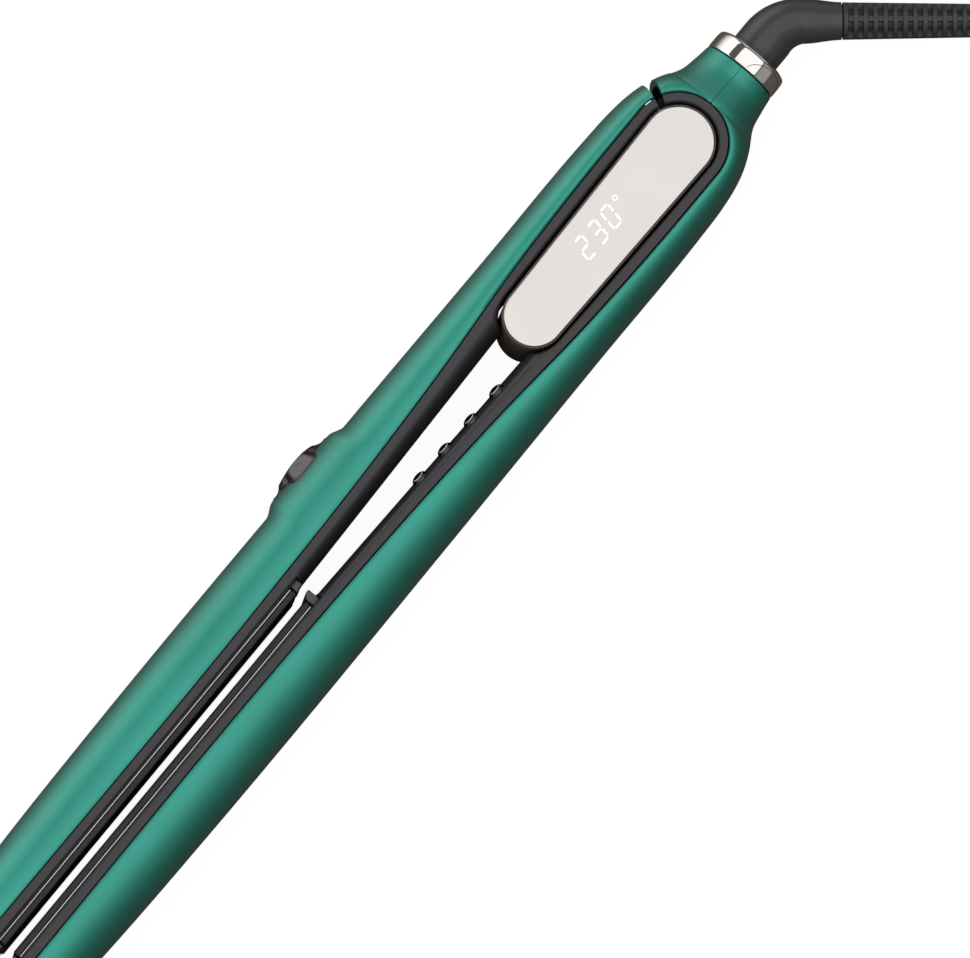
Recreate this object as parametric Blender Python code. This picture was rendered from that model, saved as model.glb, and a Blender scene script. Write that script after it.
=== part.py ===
"""Hair straightening iron, lying on its side with the display up.

The hinge axis is vertical through the origin and the surface that the iron lies on is z = 0.
+X runs from the hinge to the tip, +Y towards the fixed lower arm, -Y towards the moving upper arm.
All sizes below are millimetres; MM turns them into Blender's metres when a mesh is made.
"""

import math

import bmesh
import bpy
import numpy as np
from mathutils import Vector

MM = 0.001

# Body
HALF_DEPTH = 14.5  # half of the width across the plates
AXIS_Z = HALF_DEPTH  # mid-plane of the arms above the surface
TIP_X = 267.0
NOSE_START = 252.0
NOSE_LENGTH = 16.0
SEAM_R = 12.0  # radius of the seam round the display's tail end
SEAM_GAP = 0.17  # half of the groove between the green and the black shells
OUTER_WALL = 1.8
NECK_WALL = 1.15
INNER_WALL = 1.4
FLAT_STRIP = 0.9  # flat land of the black shells beside the seam
NECK_END_X = -24.3
NECK_SPLIT = 0.17  # half of the parting line along the neck
ARM_END_ANGLE = 21.0  # the upper arm's end face, degrees round the hinge from -Y
NECK_FACE_ANGLE = 31.0  # the neck's face across the split
OUTLINE = (
    (-24.3, 9.6), (-20.5, 10.2), (-16.0, 11.2), (-11.0, 14.1), (-6.0, 16.2), (-1.3, 17.3),
    (3.6, 17.9), (13.0, 18.3), (50.0, 18.45), (100.0, 18.8), (200.0, 18.9), (228.0, 18.4),
    (252.0, 17.5),
)
SEAM = ((0.0, 12.0), (20.0, 11.9), (49.0, 10.95), (80.0, 8.75), (110.0, 7.35), (150.0, 6.4), (267.0, 6.3))
NECK_HEIGHT = ((-24.3, 9.6), (-20.5, 10.2), (-16.5, 12.3), (-13.4, 14.1), (-12.17, 14.5))

# Hinge pod and display
POD_TAIL_R = 9.0
POD_TIP_R = 7.8
POD_LENGTH = 55.0
POD_WALL = 1.6
POD_FIT = 0.35  # gap to the fixed shell
POD_SWING_FIT = 0.45  # gap to the moving shell at the hinge, growing by POD_SWING_RATE
POD_SWING_RATE = 0.0065
WEB_LOW = (5.0, 7.4)
WEB_HIGH = (21.4, 23.4)
PIN_R = 2.5
RUNNING_GAP = 0.3
KNUCKLE_Z = (8.5, 20.3)
SPRING_BAY_Z = (11.6, 17.4)

# Plates
PLATE_START = 143.0
PLATE_END = 253.0
PLATE_HALF_WIDTH = 12.5
PLATE_FACE_Y = 1.2  # half of the slit between the plates
PLATE_THICKNESS = 2.0
LEDGE_Y = 3.3  # inner face of the black shells beside the plates
FACE_ROOT_Y = 4.1  # inner face of the handle beside the pod
FACE_PLATE_Y = 2.2  # inner face of the handle beside the plates
FACE_START = 62.0
FACE_END = 139.0
POCKET_START = 140.2
POCKET_END = 256.4
END_BLOCK = 2.7

# Power button on the upper arm's back
MOUND_X = 118.0
MOUND_RISE = 2.1
MOUND_HALF = 13.8
MOUND_TOP_HALF = 9.8
BEZEL_HALF_LENGTH = 10.2
BEZEL_HALF_WIDTH = 5.6
BEZEL_EYE = (4.9, 8.8)  # half length and half width of its middle
POWER_BUTTON_R = 4.6

# Control buttons on the lower arm's inner shoulder
BUTTON_XS = (74.6, 83.9, 93.4, 102.6)
BUTTON_R = 2.2
BUTTON_LENGTH = 2.1
BUTTON_HEIGHT = 11.0  # above the mid-plane
BUTTON_TILT = math.radians(20.0)

# Tail
COLLAR_START = -24.6
COLLAR_END = -30.0
COLLAR_R = 9.6
ELBOW_R = 6.4
JOURNAL_R = 5.0
SOCKET_R = 8.1
BEND_CORNER_X = -40.8
BEND_RADIUS = 11.0
BEND_ANGLE = math.radians(50.0)
RELIEF_START = 14.7  # from the bend's corner
RELIEF_LENGTH = 34.0
RELIEF_R = 4.55
RIB_PITCH = 2.4

# Cord: 6 mm thick, most of it in the coil
CORD_R = 3.0
COIL_X = -150.0
COIL_Y = 24.5
COIL_MID_R = 34.5
COIL_HALF_WIDTH = 12.0
COIL_HEIGHT = 12.0
LAST_TURN_R = 43.5
LEAD_BEND_R = 28.0  # of the cord's end, from the last turn to the plug
CORD_ROUTE = (
    (-72.4, 37.5, 14.5), (-78.7, 44.1, 14.0), (-85.7, 50.2, 12.4), (-93.3, 55.5, 9.8),
    (-101.4, 60.0, 7.0), (-109.9, 63.7, 4.8), (-118.8, 66.4, 3.5), (-126.3, 67.9, 3.1),
)
PLUG_BASE_Z = COIL_HEIGHT + 0.35

SHELL_STATIONS = (
    8.0, 20.0, 35.0, 50.0, 65.0, 80.0, 98.0, 125.0, 150.0, 180.0, 210.0, 235.0,
    252.0, 257.0, 261.0, 264.0, 266.0, 267.0,
)
MOUND_STATIONS = (8.0, 20.0, 35.0, 50.0, 65.0, 80.0, 98.0, 103.0, 105.0, 107.0, 109.5, 118.0,
                  126.5, 129.0, 131.0, 133.0, 150.0, 180.0, 210.0, 235.0, 252.0, 257.0,
                  261.0, 264.0, 266.0, 267.0)
INNER_STATIONS = (10.0, 30.0, 48.0, 55.0, 58.0, 60.2, 61.6, 62.4, 64.0, 80.0, 100.0, 122.0, FACE_END,
                  POCKET_START - 0.1, 170.0, 200.0, 228.0, 252.0, 257.0, 261.0, 264.0, 266.0, 267.0)


# ---------------------------------------------------------------- outlines
def curve(points, x):
    """A smooth curve through a few points: cubic between them, with slopes from their neighbours."""
    xs, ys = np.array(points, float).T
    slope = np.gradient(ys, xs)
    x = np.clip(np.asarray(x, float), xs[0], xs[-1])
    i = np.clip(np.searchsorted(xs, x, side="right") - 1, 0, len(xs) - 2)
    step = xs[i + 1] - xs[i]
    t = (x - xs[i]) / step
    a = ys[i] * (1 + 2 * t) * (1 - t) ** 2 + ys[i + 1] * t * t * (3 - 2 * t)
    return a + step * (slope[i] * t * (1 - t) ** 2 - slope[i + 1] * t * t * (1 - t))


def ramp(x, start, end):
    """0 before start, 1 after end, with a smooth rise between."""
    t = np.clip((x - start) / (end - start), 0.0, 1.0)
    return t * t * (3 - 2 * t)


def nose(x):
    """1 along the arm, falling on a quarter ellipse at the tip."""
    t = np.clip((x - NOSE_START) / NOSE_LENGTH, 0.0, 0.999)
    return math.sqrt(1 - t * t)


def seam_y(x):
    """Distance of the seam from the middle plane."""
    if x < 0:
        return math.sqrt(max(SEAM_R**2 - x * x, 0.0))
    return float(curve(SEAM, x))


def outer_y(x, mound=False):
    """Distance of the green shells' outer silhouette from the middle plane."""
    y = float(curve(OUTLINE, x))
    if mound:
        away = abs(x - MOUND_X)
        y += MOUND_RISE * (1 - float(ramp(away, MOUND_TOP_HALF, MOUND_HALF)))
    seam = seam_y(x)
    return seam + (y - seam) * nose(x)


def half_depth(x):
    """Half of the height of the body, round the neck and along the arms."""
    if x < -SEAM_R - SEAM_GAP:
        return float(curve(NECK_HEIGHT, x))
    return HALF_DEPTH * (0.5 + 0.5 * nose(x))


def pod_half(x, gap):
    """Half of the pod's width at x, moved out by gap; 0 past its tip end."""
    tail, tip = POD_TAIL_R + gap, POD_TIP_R + gap
    if x <= 0:
        return tail
    if x <= POD_LENGTH:
        return tail + (tip - tail) * x / POD_LENGTH
    return math.sqrt(max(tip**2 - (x - POD_LENGTH) ** 2, 0.0))


def inner_y(x, gap):
    """Inner face of the black shells: round the pod, along the handle, then beside the plates."""
    if x >= POCKET_START - 0.2:
        return LEDGE_Y
    share = min(max((x - FACE_START) / (FACE_END - FACE_START), 0.0), 1.0)
    return max(FACE_ROOT_Y + (FACE_PLATE_Y - FACE_ROOT_Y) * share, pod_half(x, gap))


def pod_outline(shrink, count=10):
    """The pod's obround outline, moved in by shrink, as (x, y) points."""
    points = []
    for i in range(count + 1):
        a = math.pi / 2 + math.pi * i / count
        r = POD_TAIL_R - shrink
        points.append((r * math.cos(a), r * math.sin(a)))
    for i in range(count + 1):
        a = -math.pi / 2 + math.pi * i / count
        r = POD_TIP_R - shrink
        points.append((POD_LENGTH + r * math.cos(a), r * math.sin(a)))
    return points


# ---------------------------------------------------------------- materials and objects
def clear_scene():
    for old in list(bpy.data.objects):
        bpy.data.objects.remove(old, do_unlink=True)


def make_material(name, colour, roughness, metallic=0.0):
    material = bpy.data.materials.new(name)
    material.use_nodes = True
    shader = material.node_tree.nodes["Principled BSDF"]
    shader.inputs["Base Color"].default_value = (*colour, 1.0)
    shader.inputs["Roughness"].default_value = roughness
    shader.inputs["Metallic"].default_value = metallic
    material.diffuse_color = (*colour, 1.0)
    return material


def make_pivot(name, place, parent=None):
    """An empty on a joint's axis. The pieces that move with the joint hang from it."""
    pivot = bpy.data.objects.new(name, None)
    bpy.context.collection.objects.link(pivot)
    pivot["place"] = place
    start = Vector(parent["place"]) if parent else Vector((0, 0, 0))
    pivot.location = (Vector(place) - start) * MM
    pivot.parent = parent
    return pivot


def finish(name, mesh, material, pivot):
    piece = bpy.data.objects.new(name, mesh)
    bpy.context.collection.objects.link(piece)
    piece.parent = pivot
    if material:
        mesh.materials.append(material)
    return piece


def make_piece(name, vertices, faces, material, pivot, smooth=True):
    """A named object from points in millimetres in the world and their faces."""
    mesh = bpy.data.meshes.new(name)
    bm = bmesh.new()
    origin = Vector(pivot["place"])
    corners = [bm.verts.new((Vector(v) - origin) * MM) for v in vertices]
    for face in faces:
        bm.faces.new([corners[i] for i in face])
    bmesh.ops.remove_doubles(bm, verts=bm.verts, dist=0.00001)
    bmesh.ops.recalc_face_normals(bm, faces=bm.faces)
    bm.to_mesh(mesh)
    bm.free()
    if smooth:
        mesh.shade_smooth()
        mesh.set_sharp_from_angle(angle=math.radians(38))
    return finish(name, mesh, material, pivot)


def cut(piece, cutter, operation="DIFFERENCE"):
    """A Boolean on piece. The cutter stays as a hidden wire guide."""
    cutter.hide_render = True
    cutter.display_type = "WIRE"
    modifier = piece.modifiers.new("cut " + cutter.name, "BOOLEAN")
    modifier.operation = operation
    modifier.object = cutter


def bevel(piece, width, segments=1):
    modifier = piece.modifiers.new("bevel", "BEVEL")
    modifier.width = width * MM
    modifier.segments = segments
    modifier.limit_method = "ANGLE"


# ---------------------------------------------------------------- shapes
def box_faces(low, high):
    corners = [(x, y, z) for x in (low[0], high[0]) for y in (low[1], high[1]) for z in (low[2], high[2])]
    faces = [(0, 1, 3, 2), (4, 6, 7, 5), (0, 4, 5, 1), (2, 3, 7, 6), (0, 2, 6, 4), (1, 5, 7, 3)]
    return corners, faces


def make_box(name, low, high, material, pivot, edge=0.0):
    corners, faces = box_faces(low, high)
    piece = make_piece(name, corners, faces, material, pivot, smooth=False)
    if edge:
        bevel(piece, edge)
    return piece


def make_prism(name, outline, low, high, axis, material, pivot):
    """An outline carried along one axis: x takes (y, z), y takes (x, z) and z takes (x, y)."""
    order = {"x": (2, 0, 1), "y": (0, 2, 1), "z": (0, 1, 2)}[axis]
    vertices = [[(a, b, c)[k] for k in order] for c in (low, high) for a, b in outline]
    n = len(outline)
    faces = [tuple(range(n)), tuple(range(2 * n - 1, n - 1, -1))]
    faces += [(i, (i + 1) % n, n + (i + 1) % n, n + i) for i in range(n)]
    return make_piece(name, vertices, faces, material, pivot)


def sweep(centres, directions, radii, segments, ring=False):
    """Circles carried along a path. With ring, the last circle joins the first, as for a tube's wall."""
    vertices = []
    for centre, direction, radius in zip(centres, directions, radii, strict=True):
        along = Vector(direction).normalized()
        side = Vector((0, 0, 1)).cross(along)
        side = side.normalized() if side.length > 0.01 else Vector((0, 1, 0))
        up = along.cross(side)
        for k in range(segments):
            a = 2 * math.pi * k / segments
            vertices.append(Vector(centre) + radius * (math.cos(a) * side + math.sin(a) * up))
    count = len(radii)
    faces = []
    for i in range(count if ring else count - 1):
        j = (i + 1) % count
        for k in range(segments):
            m = (k + 1) % segments
            faces.append((i * segments + k, i * segments + m, j * segments + m, j * segments + k))
    if not ring:
        faces.append(tuple(range(segments)))
        faces.append(tuple((count - 1) * segments + k for k in range(segments)))
    return vertices, faces


def make_turned(name, profile, start, direction, material, pivot, segments=20, ring=False):
    """A turned piece: profile holds (distance along direction from start, radius) pairs."""
    along = Vector(direction).normalized()
    centres = [Vector(start) + along * s for s, _ in profile]
    radii = [r for _, r in profile]
    vertices, faces = sweep(centres, [along] * len(profile), radii, segments, ring)
    return make_piece(name, vertices, faces, material, pivot)


def make_tube(name, points, radius, material, pivot, resolution=1):
    """A wire or cord along points, with round sides and closed ends."""
    data = bpy.data.curves.new(name, "CURVE")
    data.dimensions = "3D"
    data.bevel_depth = radius * MM
    data.bevel_resolution = resolution
    data.use_fill_caps = True
    spline = data.splines.new("POLY")
    spline.points.add(len(points) - 1)
    origin = Vector(pivot["place"])
    for target, point in zip(spline.points, points, strict=True):
        target.co = (*((Vector(point) - origin) * MM), 1.0)
    return finish(name, data, material, pivot)


def shell(name, outer, inner, closed_nose, material, pivot):
    """A channel-shaped shell between an outer and an inner grid, one row of points for each section."""
    rows, columns = len(outer), len(outer[0])
    vertices = [p for row in outer for p in row] + [p for row in inner for p in row]
    shift = rows * columns

    def out(i, j):
        return i * columns + j

    def back(i, j):
        return shift + i * columns + j

    faces = []
    last = columns - 1
    for i in range(rows - 1):
        for j in range(last):
            faces.append((out(i, j), out(i, j + 1), out(i + 1, j + 1), out(i + 1, j)))
            faces.append((back(i, j), back(i + 1, j), back(i + 1, j + 1), back(i, j + 1)))
        faces.append((out(i, 0), out(i + 1, 0), back(i + 1, 0), back(i, 0)))
        faces.append((out(i, last), back(i, last), back(i + 1, last), out(i + 1, last)))
    for j in range(last):
        faces.append((out(0, j), back(0, j), back(0, j + 1), out(0, j + 1)))
        if not closed_nose:
            faces.append((out(rows - 1, j), out(rows - 1, j + 1), back(rows - 1, j + 1), back(rows - 1, j)))
    if closed_nose:
        faces.append(tuple(out(rows - 1, j) for j in range(columns)))
        faces.append(tuple(back(rows - 1, j) for j in range(columns)))
        faces.append((out(rows - 1, 0), out(rows - 1, last), back(rows - 1, last), back(rows - 1, 0)))
    return make_piece(name, vertices, faces, material, pivot)


def oval_row(seam, reach, height, power, count=13):
    """Half oval from the upper seam round the outside to the lower seam, as (distance, height)."""
    angles = np.linspace(math.pi / 2, -math.pi / 2, count)
    across = np.abs(np.cos(angles)) ** (2 / power)
    up = np.sign(np.sin(angles)) * np.abs(np.sin(angles)) ** (2 / power)
    across[[0, -1]] = 0.0
    return [(seam + reach * a, height * u) for a, u in zip(across, up, strict=True)]


def channel_row(seam, shoulder, face, height, power, count=5):
    """From the upper seam along the flat land, over the shoulder, across the face and back below."""
    angles = np.linspace(math.pi / 2, 0, count)
    reach = shoulder - face
    half = [(seam, height)]
    for a in angles:
        drop = reach * max(math.cos(a), 0.0) ** (2 / power)
        half.append((shoulder - drop, height * math.sin(a) ** (2 / power)))
    half[1] = (shoulder, height)
    return half + [(d, -z) for d, z in reversed(half[:-1])]


def place_row(row, x, y, turn, side):
    """Puts a section's (distance, height) points at (x, y), leaning back by turn degrees."""
    s, c = math.sin(math.radians(turn)), math.cos(math.radians(turn))
    return [(x - d * s, side * (y + d * c), AXIS_Z + z) for d, z in row]


def reach_to_outline(x, y, turn, mound=False):
    """How far a leaning section goes from (x, y) until it meets the outer silhouette."""
    s, c = math.sin(math.radians(turn)), math.cos(math.radians(turn))
    distance = 5.0
    for _ in range(40):
        distance += 0.5 * (outer_y(x - distance * s, mound) - (y + distance * c))
    return distance


# ---------------------------------------------------------------- shells
def green_rows(stations, side, mound=False):
    """Outer and inner rows of a green shell. A station is (x, y, turn) of the section's seam."""
    outer, inner = [], []
    for x, y, turn in stations:
        reach = reach_to_outline(x, y, turn, mound)
        height = half_depth(x)
        power = 2.0 + 0.25 * float(ramp(x, -20.0, -8.0))
        outer.append(place_row(oval_row(0.0, reach, height, power), x, y, turn, side))
        back_x = min(x, TIP_X - OUTER_WALL)
        wall = NECK_WALL + (OUTER_WALL - NECK_WALL) * float(ramp(x, -19.0, -12.0))
        row = oval_row(0.0, max(reach - wall, 0.4), height - wall, power)
        inner.append(place_row(row, back_x, y, turn, side))
    return outer, inner


def straight_stations(xs):
    return [(x, seam_y(x) + SEAM_GAP, 0.0) for x in xs]


def neck_stations():
    xs = (NECK_END_X, -22.3, -20.5, -18.5, -16.5, -14.8, -13.4)
    return [(x, NECK_SPLIT, 0.0) for x in xs]


def round_seam_stations(angles, lean):
    """Stations on the seam's circle at angles from the Y axis; lean turns each angle into its tilt."""
    radius = SEAM_R + SEAM_GAP
    stations = []
    for angle in angles:
        a = math.radians(angle)
        y = max(radius * math.cos(a), NECK_SPLIT)
        stations.append((-radius * math.sin(a), y, lean(angle)))
    return stations


def make_lower_outer_shell(looks, root):
    circle = round_seam_stations((89, 78, 66, 54, 42, 30, 15, 0), lambda angle: 0.0)
    outer, inner = green_rows(neck_stations() + circle + straight_stations(SHELL_STATIONS), 1)
    return shell("lower_outer_shell", outer, inner, True, looks["green"], root)


def make_tail_cap(looks, root):
    span = 90.0 - NECK_FACE_ANGLE
    circle = round_seam_stations(
        (89, 78, 66, 54, 42, NECK_FACE_ANGLE), lambda angle: NECK_FACE_ANGLE * (90.0 - angle) / span
    )
    outer, inner = green_rows(neck_stations() + circle, -1)
    return shell("tail_cap", outer, inner, False, looks["green"], root)


def make_upper_outer_shell(looks, arm):
    ends = round_seam_stations((ARM_END_ANGLE, 14.0, 7.0, 0.0), lambda angle: angle)
    outer, inner = green_rows(ends + straight_stations(MOUND_STATIONS), -1, mound=True)
    piece = shell("upper_outer_shell", outer, inner, True, looks["green"], arm)
    hole = make_turned("power_hole", ((0, 5.4), (14, 5.4)), (MOUND_X, -12, AXIS_Z), (0, -1, 0), None, arm, 20)
    cut(piece, hole)
    return piece


def inner_section(x, gap):
    """Outer and inner (distance, height) rows of a black shell at x."""
    seam = (SEAM_R if x <= 0 else seam_y(x)) - SEAM_GAP
    face = inner_y(x, gap)
    height = half_depth(max(x, 0.0))
    power = 3.0 + 3.0 * float(max(1 - ramp(x, 52.0, 64.0), ramp(x, FACE_END, POCKET_START)))
    shoulder = seam - FLAT_STRIP
    back = min(max(shoulder, face + INNER_WALL + 0.1), seam - 0.05)
    outer = channel_row(seam, shoulder, face, height, power)
    inner = channel_row(seam, back, face + INNER_WALL, height - INNER_WALL, power)
    return outer, inner


def make_inner_shell(name, side, end_angle, gap_of, looks, pivot):
    """A black shell: round the hinge from its end face, then along the arm to the tip."""
    outer, inner = [], []
    turns = [end_angle * (1 - i / 10) for i in range(10)] if end_angle > 40 else [end_angle, end_angle / 2]
    for turn in turns:
        front, back = inner_section(0.0, gap_of(0.0))
        outer.append(place_row(front, 0.0, 0.0, turn, side))
        inner.append(place_row(back, 0.0, 0.0, turn, side))
    for x in (0.0, *INNER_STATIONS):
        front, back = inner_section(x, gap_of(x))
        outer.append(place_row(front, x, 0.0, 0.0, side))
        inner.append(place_row(back, min(x, TIP_X - INNER_WALL), 0.0, 0.0, side))
    piece = shell(name, outer, inner, True, looks["black"], pivot)
    half = PLATE_HALF_WIDTH + 0.4
    ys = sorted((side * 1.0, side * 5.6))
    pocket = box_faces((POCKET_START, ys[0], AXIS_Z - half), (POCKET_END, ys[1], AXIS_Z + half))
    cut(piece, make_piece(name + "_pocket", *pocket, None, pivot, smooth=False))
    return piece


def surface_button_axis(x):
    """Where a control button's axis meets the lower arm's inner shoulder, and the way it presses."""
    seam = seam_y(x) - SEAM_GAP - FLAT_STRIP
    share = (1 - (BUTTON_HEIGHT / HALF_DEPTH) ** 3) ** (1 / 3)
    y = seam - (seam - inner_y(x, POD_FIT)) * share
    return Vector((x, y, AXIS_Z + BUTTON_HEIGHT)), Vector((0, math.cos(BUTTON_TILT), -math.sin(BUTTON_TILT)))


def make_lower_inner_shell(looks, root):
    piece = make_inner_shell("lower_inner_shell", 1, 180.0 - NECK_FACE_ANGLE, lambda x: POD_FIT, looks, root)
    for number, x in enumerate(BUTTON_XS, 1):
        centre, press = surface_button_axis(x)
        hole = make_turned(
            f"button_hole_{number}", ((-3, BUTTON_R + 0.3), (4, BUTTON_R + 0.3)), centre, press, None, root, 14
        )
        cut(piece, hole)
    return piece


def make_upper_inner_shell(looks, arm):
    piece = make_inner_shell(
        "upper_inner_shell", -1, ARM_END_ANGLE, lambda x: POD_SWING_FIT + POD_SWING_RATE * x, looks, arm
    )
    window = box_faces((-3.6, -12.4, KNUCKLE_Z[0] - 0.6), (4.0, -8.0, KNUCKLE_Z[1] + 0.6))
    cut(piece, make_piece("arm_window", *window, None, arm, smooth=False))
    for number, x in enumerate((9.0, 19.0), 1):
        hole = make_turned(
            f"arm_screw_hole_{number}", ((0, 1.2), (5, 1.2)), (x, -8.0, AXIS_Z), (0, -1, 0), None, arm, 12
        )
        cut(piece, hole)
    return piece


# ---------------------------------------------------------------- hinge pod and display
def make_pod(looks, root):
    pod = make_prism("hinge_pod", pod_outline(0.0), 0.0, 28.6, "z", looks["pod"], root)
    bays = (
        ("pod_top_bay", POD_WALL, WEB_HIGH[1], 30.0),
        ("pod_mid_bay", POD_WALL, WEB_LOW[1], WEB_HIGH[0]),
        ("pod_low_bay", POD_WALL, -1.0, WEB_LOW[0]),
        ("pod_lens_seat", 0.5, 27.0, 30.0),
    )
    for name, shrink, low, high in bays:
        cut(pod, make_prism(name, pod_outline(shrink), low, high, "z", None, root))
    window = box_faces((-6.0, -12.0, WEB_LOW[1] + 0.4), (7.5, -4.5, WEB_HIGH[0] - 0.4))
    cut(pod, make_piece("pod_window", *window, None, root, smooth=False))
    bore = PIN_R + RUNNING_GAP
    cut(pod, make_turned("pin_bore", ((0, bore), (22, bore)), (0, 0, 3), (0, 0, 1), None, root, 20))
    for number, x in enumerate((15.0, 50.0), 1):
        hole = make_turned(f"cover_hole_{number}", ((0, 1.2), (8, 1.2)), (x, 0, 3), (0, 0, 1), None, root, 10)
        cut(pod, hole)
    cover = make_prism("pod_base_cover", pod_outline(POD_WALL + 0.35), 0.0, 1.5, "z", looks["black"], root)
    for number, x in enumerate((15.0, 50.0), 1):
        hole = make_turned(f"cover_clear_{number}", ((0, 1.3), (4, 1.3)), (x, 0, 0), (0, 0, 1), None, root, 10)
        cut(cover, hole)
        make_screw(f"pod_screw_{number}", (x, 0, 0.2), (0, 0, 1), looks, root, sink=True)
    return pod


def make_screw(name, place, direction, looks, pivot, sink=False):
    """A small screw: head first, then the shank along direction. A sunk head stands below its plate."""
    if sink:
        profile = ((0.1, 1.0), (1.2, 1.0), (5.6, 0.85), (6.4, 0.4))
    else:
        profile = ((0.0, 1.2), (0.3, 1.7), (1.1, 1.7), (1.1, 0.85), (4.9, 0.85), (5.4, 0.4))
    return make_turned(name, profile, place, direction, looks["steel"], pivot, 10)


def make_display(looks, root):
    make_prism("display_lens", pod_outline(0.8), 27.3, 28.8, "z", looks["mirror"], root)
    make_prism("display_board", pod_outline(POD_WALL + 0.4), 24.9, 25.9, "z", looks["board"], root)
    make_box("display_module", (6.0, -4.6, 26.2), (34.0, 4.6, 27.0), looks["dark"], root, 0.2)


def make_hinge(looks, root):
    profile = ((0.0, 3.2), (0.3, 3.6), (1.3, 3.6), (1.3, PIN_R), (20.7, PIN_R), (21.1, PIN_R - 0.4))
    make_turned("hinge_pin", profile, (0, 0, 3.3), (0, 0, 1), looks["steel"], root, 20)
    ring_in = PIN_R + RUNNING_GAP
    ring_sets = (
        ("hinge_clip", 23.75, 0.5, 4.4, "steel"),
        ("hinge_washer_low", WEB_LOW[1] + 0.35, 0.4, 4.8, "nylon"),
        ("hinge_washer_high", KNUCKLE_Z[1] + 0.35, 0.4, 4.8, "nylon"),
    )
    for name, low, thick, outer, look in ring_sets:
        profile = ((0, ring_in), (0, outer), (thick, outer), (thick, ring_in))
        make_turned(name, profile, (0, 0, low), (0, 0, 1), looks[look], root, 20, ring=True)
    make_opening_spring(looks, root)


def make_opening_spring(looks, root):
    """Torsion spring round the pin: one leg lies in the pod, the other beside the hinge arm."""
    radius, wire = 4.2, 0.45
    low, turns, steps = 12.6, 3.25, 42
    points = [(14.0, radius, low), (7.0, radius, low)]
    for i in range(steps + 1):
        a = math.pi / 2 + 2 * math.pi * turns * i / steps
        points.append((radius * math.cos(a), radius * math.sin(a), low + 3.8 * i / steps))
    end = points[-1]
    points.append((end[0] + 0.6, -4.0, end[2]))
    points.append((end[0] + 0.6, -7.6, end[2]))
    make_tube("opening_spring", points, wire, looks["steel"], root)


def make_hinge_arm(looks, arm):
    """The upper arm's knuckle: an eye round the pin, a tongue through the pod's window, and a pad."""
    eye = 5.6
    angles = np.radians(np.linspace(-30, 210, 17))
    outline = [(eye * math.cos(a), eye * math.sin(a)) for a in angles]
    outline += [(-3.0, -4.8), (-3.0, -11.2), (-3.0, -14.0)]
    outline += [(22.5, -14.0), (22.5, -11.4), (3.2, -11.4), (3.2, -4.8)]
    piece = make_prism("hinge_arm", outline, *KNUCKLE_Z, "z", looks["nylon"], arm)
    bore = PIN_R + RUNNING_GAP
    cut(piece, make_turned("eye_bore", ((0, bore), (16, bore)), (0, 0, 6), (0, 0, 1), None, arm, 20))
    bay = ((0, 5.7), (SPRING_BAY_Z[1] - SPRING_BAY_Z[0], 5.7))
    cut(piece, make_turned("spring_bay", bay, (0, 0, SPRING_BAY_Z[0]), (0, 0, 1), None, arm, 20))
    for number, x in enumerate((9.0, 19.0), 1):
        place = (x, -9, AXIS_Z)
        hole = make_turned(f"pad_hole_{number}", ((0, 1.2), (8, 1.2)), place, (0, -1, 0), None, arm, 12)
        cut(piece, hole)
        make_screw(f"hinge_arm_screw_{number}", (x, -15.45, AXIS_Z), (0, 1, 0), looks, arm)
    return piece


# ---------------------------------------------------------------- heating plates
def make_plate_set(prefix, side, looks, arm, plate):
    """Plate, heater and clamp float together on two springs in a tray that is fixed in the arm."""

    def slab(name, xs, ys, half, look, pivot, edge=0.0):
        near, far = sorted((side * ys[0], side * ys[1]))
        low = (xs[0], near, AXIS_Z - half)
        high = (xs[1], far, AXIS_Z + half)
        return make_box(f"{prefix}_{name}", low, high, looks[look], pivot, edge)

    ys = (PLATE_FACE_Y, PLATE_FACE_Y + PLATE_THICKNESS)
    piece = slab("plate", (PLATE_START, PLATE_END), ys, PLATE_HALF_WIDTH, "plate", plate)
    bevel(piece, 0.5, 2)
    slab("heater", (155.0, 241.0), (3.5, 4.8), 7.0, "ceramic", plate)
    slab("heater_clamp", (150.0, 246.0), (5.1, 6.3), 9.0, "aluminium", plate, 0.3)
    make_tray(f"{prefix}_plate_tray", side, looks, arm)
    for where, x in (("root", 162.0), ("tip", 234.0)):
        make_float_spring(f"{prefix}_float_spring_{where}", x, side, looks, arm)
    make_end_blocks(prefix, side, looks, plate)


def make_tray(name, side, looks, arm):
    outline = [(12.2, -10.4), (12.2, 10.4), (4.8, 10.4), (4.8, 9.5)]
    outline += [(11.0, 9.5), (11.0, -9.5), (4.8, -9.5), (4.8, -10.4)]
    placed = [(side * y, AXIS_Z + z) for y, z in outline]
    return make_prism(name, placed, 147.0, 249.0, "x", looks["dark"], arm)


def make_float_spring(name, x, side, looks, arm):
    radius, wire = 3.0, 0.35
    low, high, turns, steps = 7.0, 10.3, 2.5, 25
    points = []
    for i in range(steps + 1):
        a = 2 * math.pi * turns * i / steps
        y = low + (high - low) * i / steps
        points.append((x + radius * math.cos(a), side * y, AXIS_Z + radius * math.sin(a)))
    return make_tube(name, points, wire, looks["steel"], arm)


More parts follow.
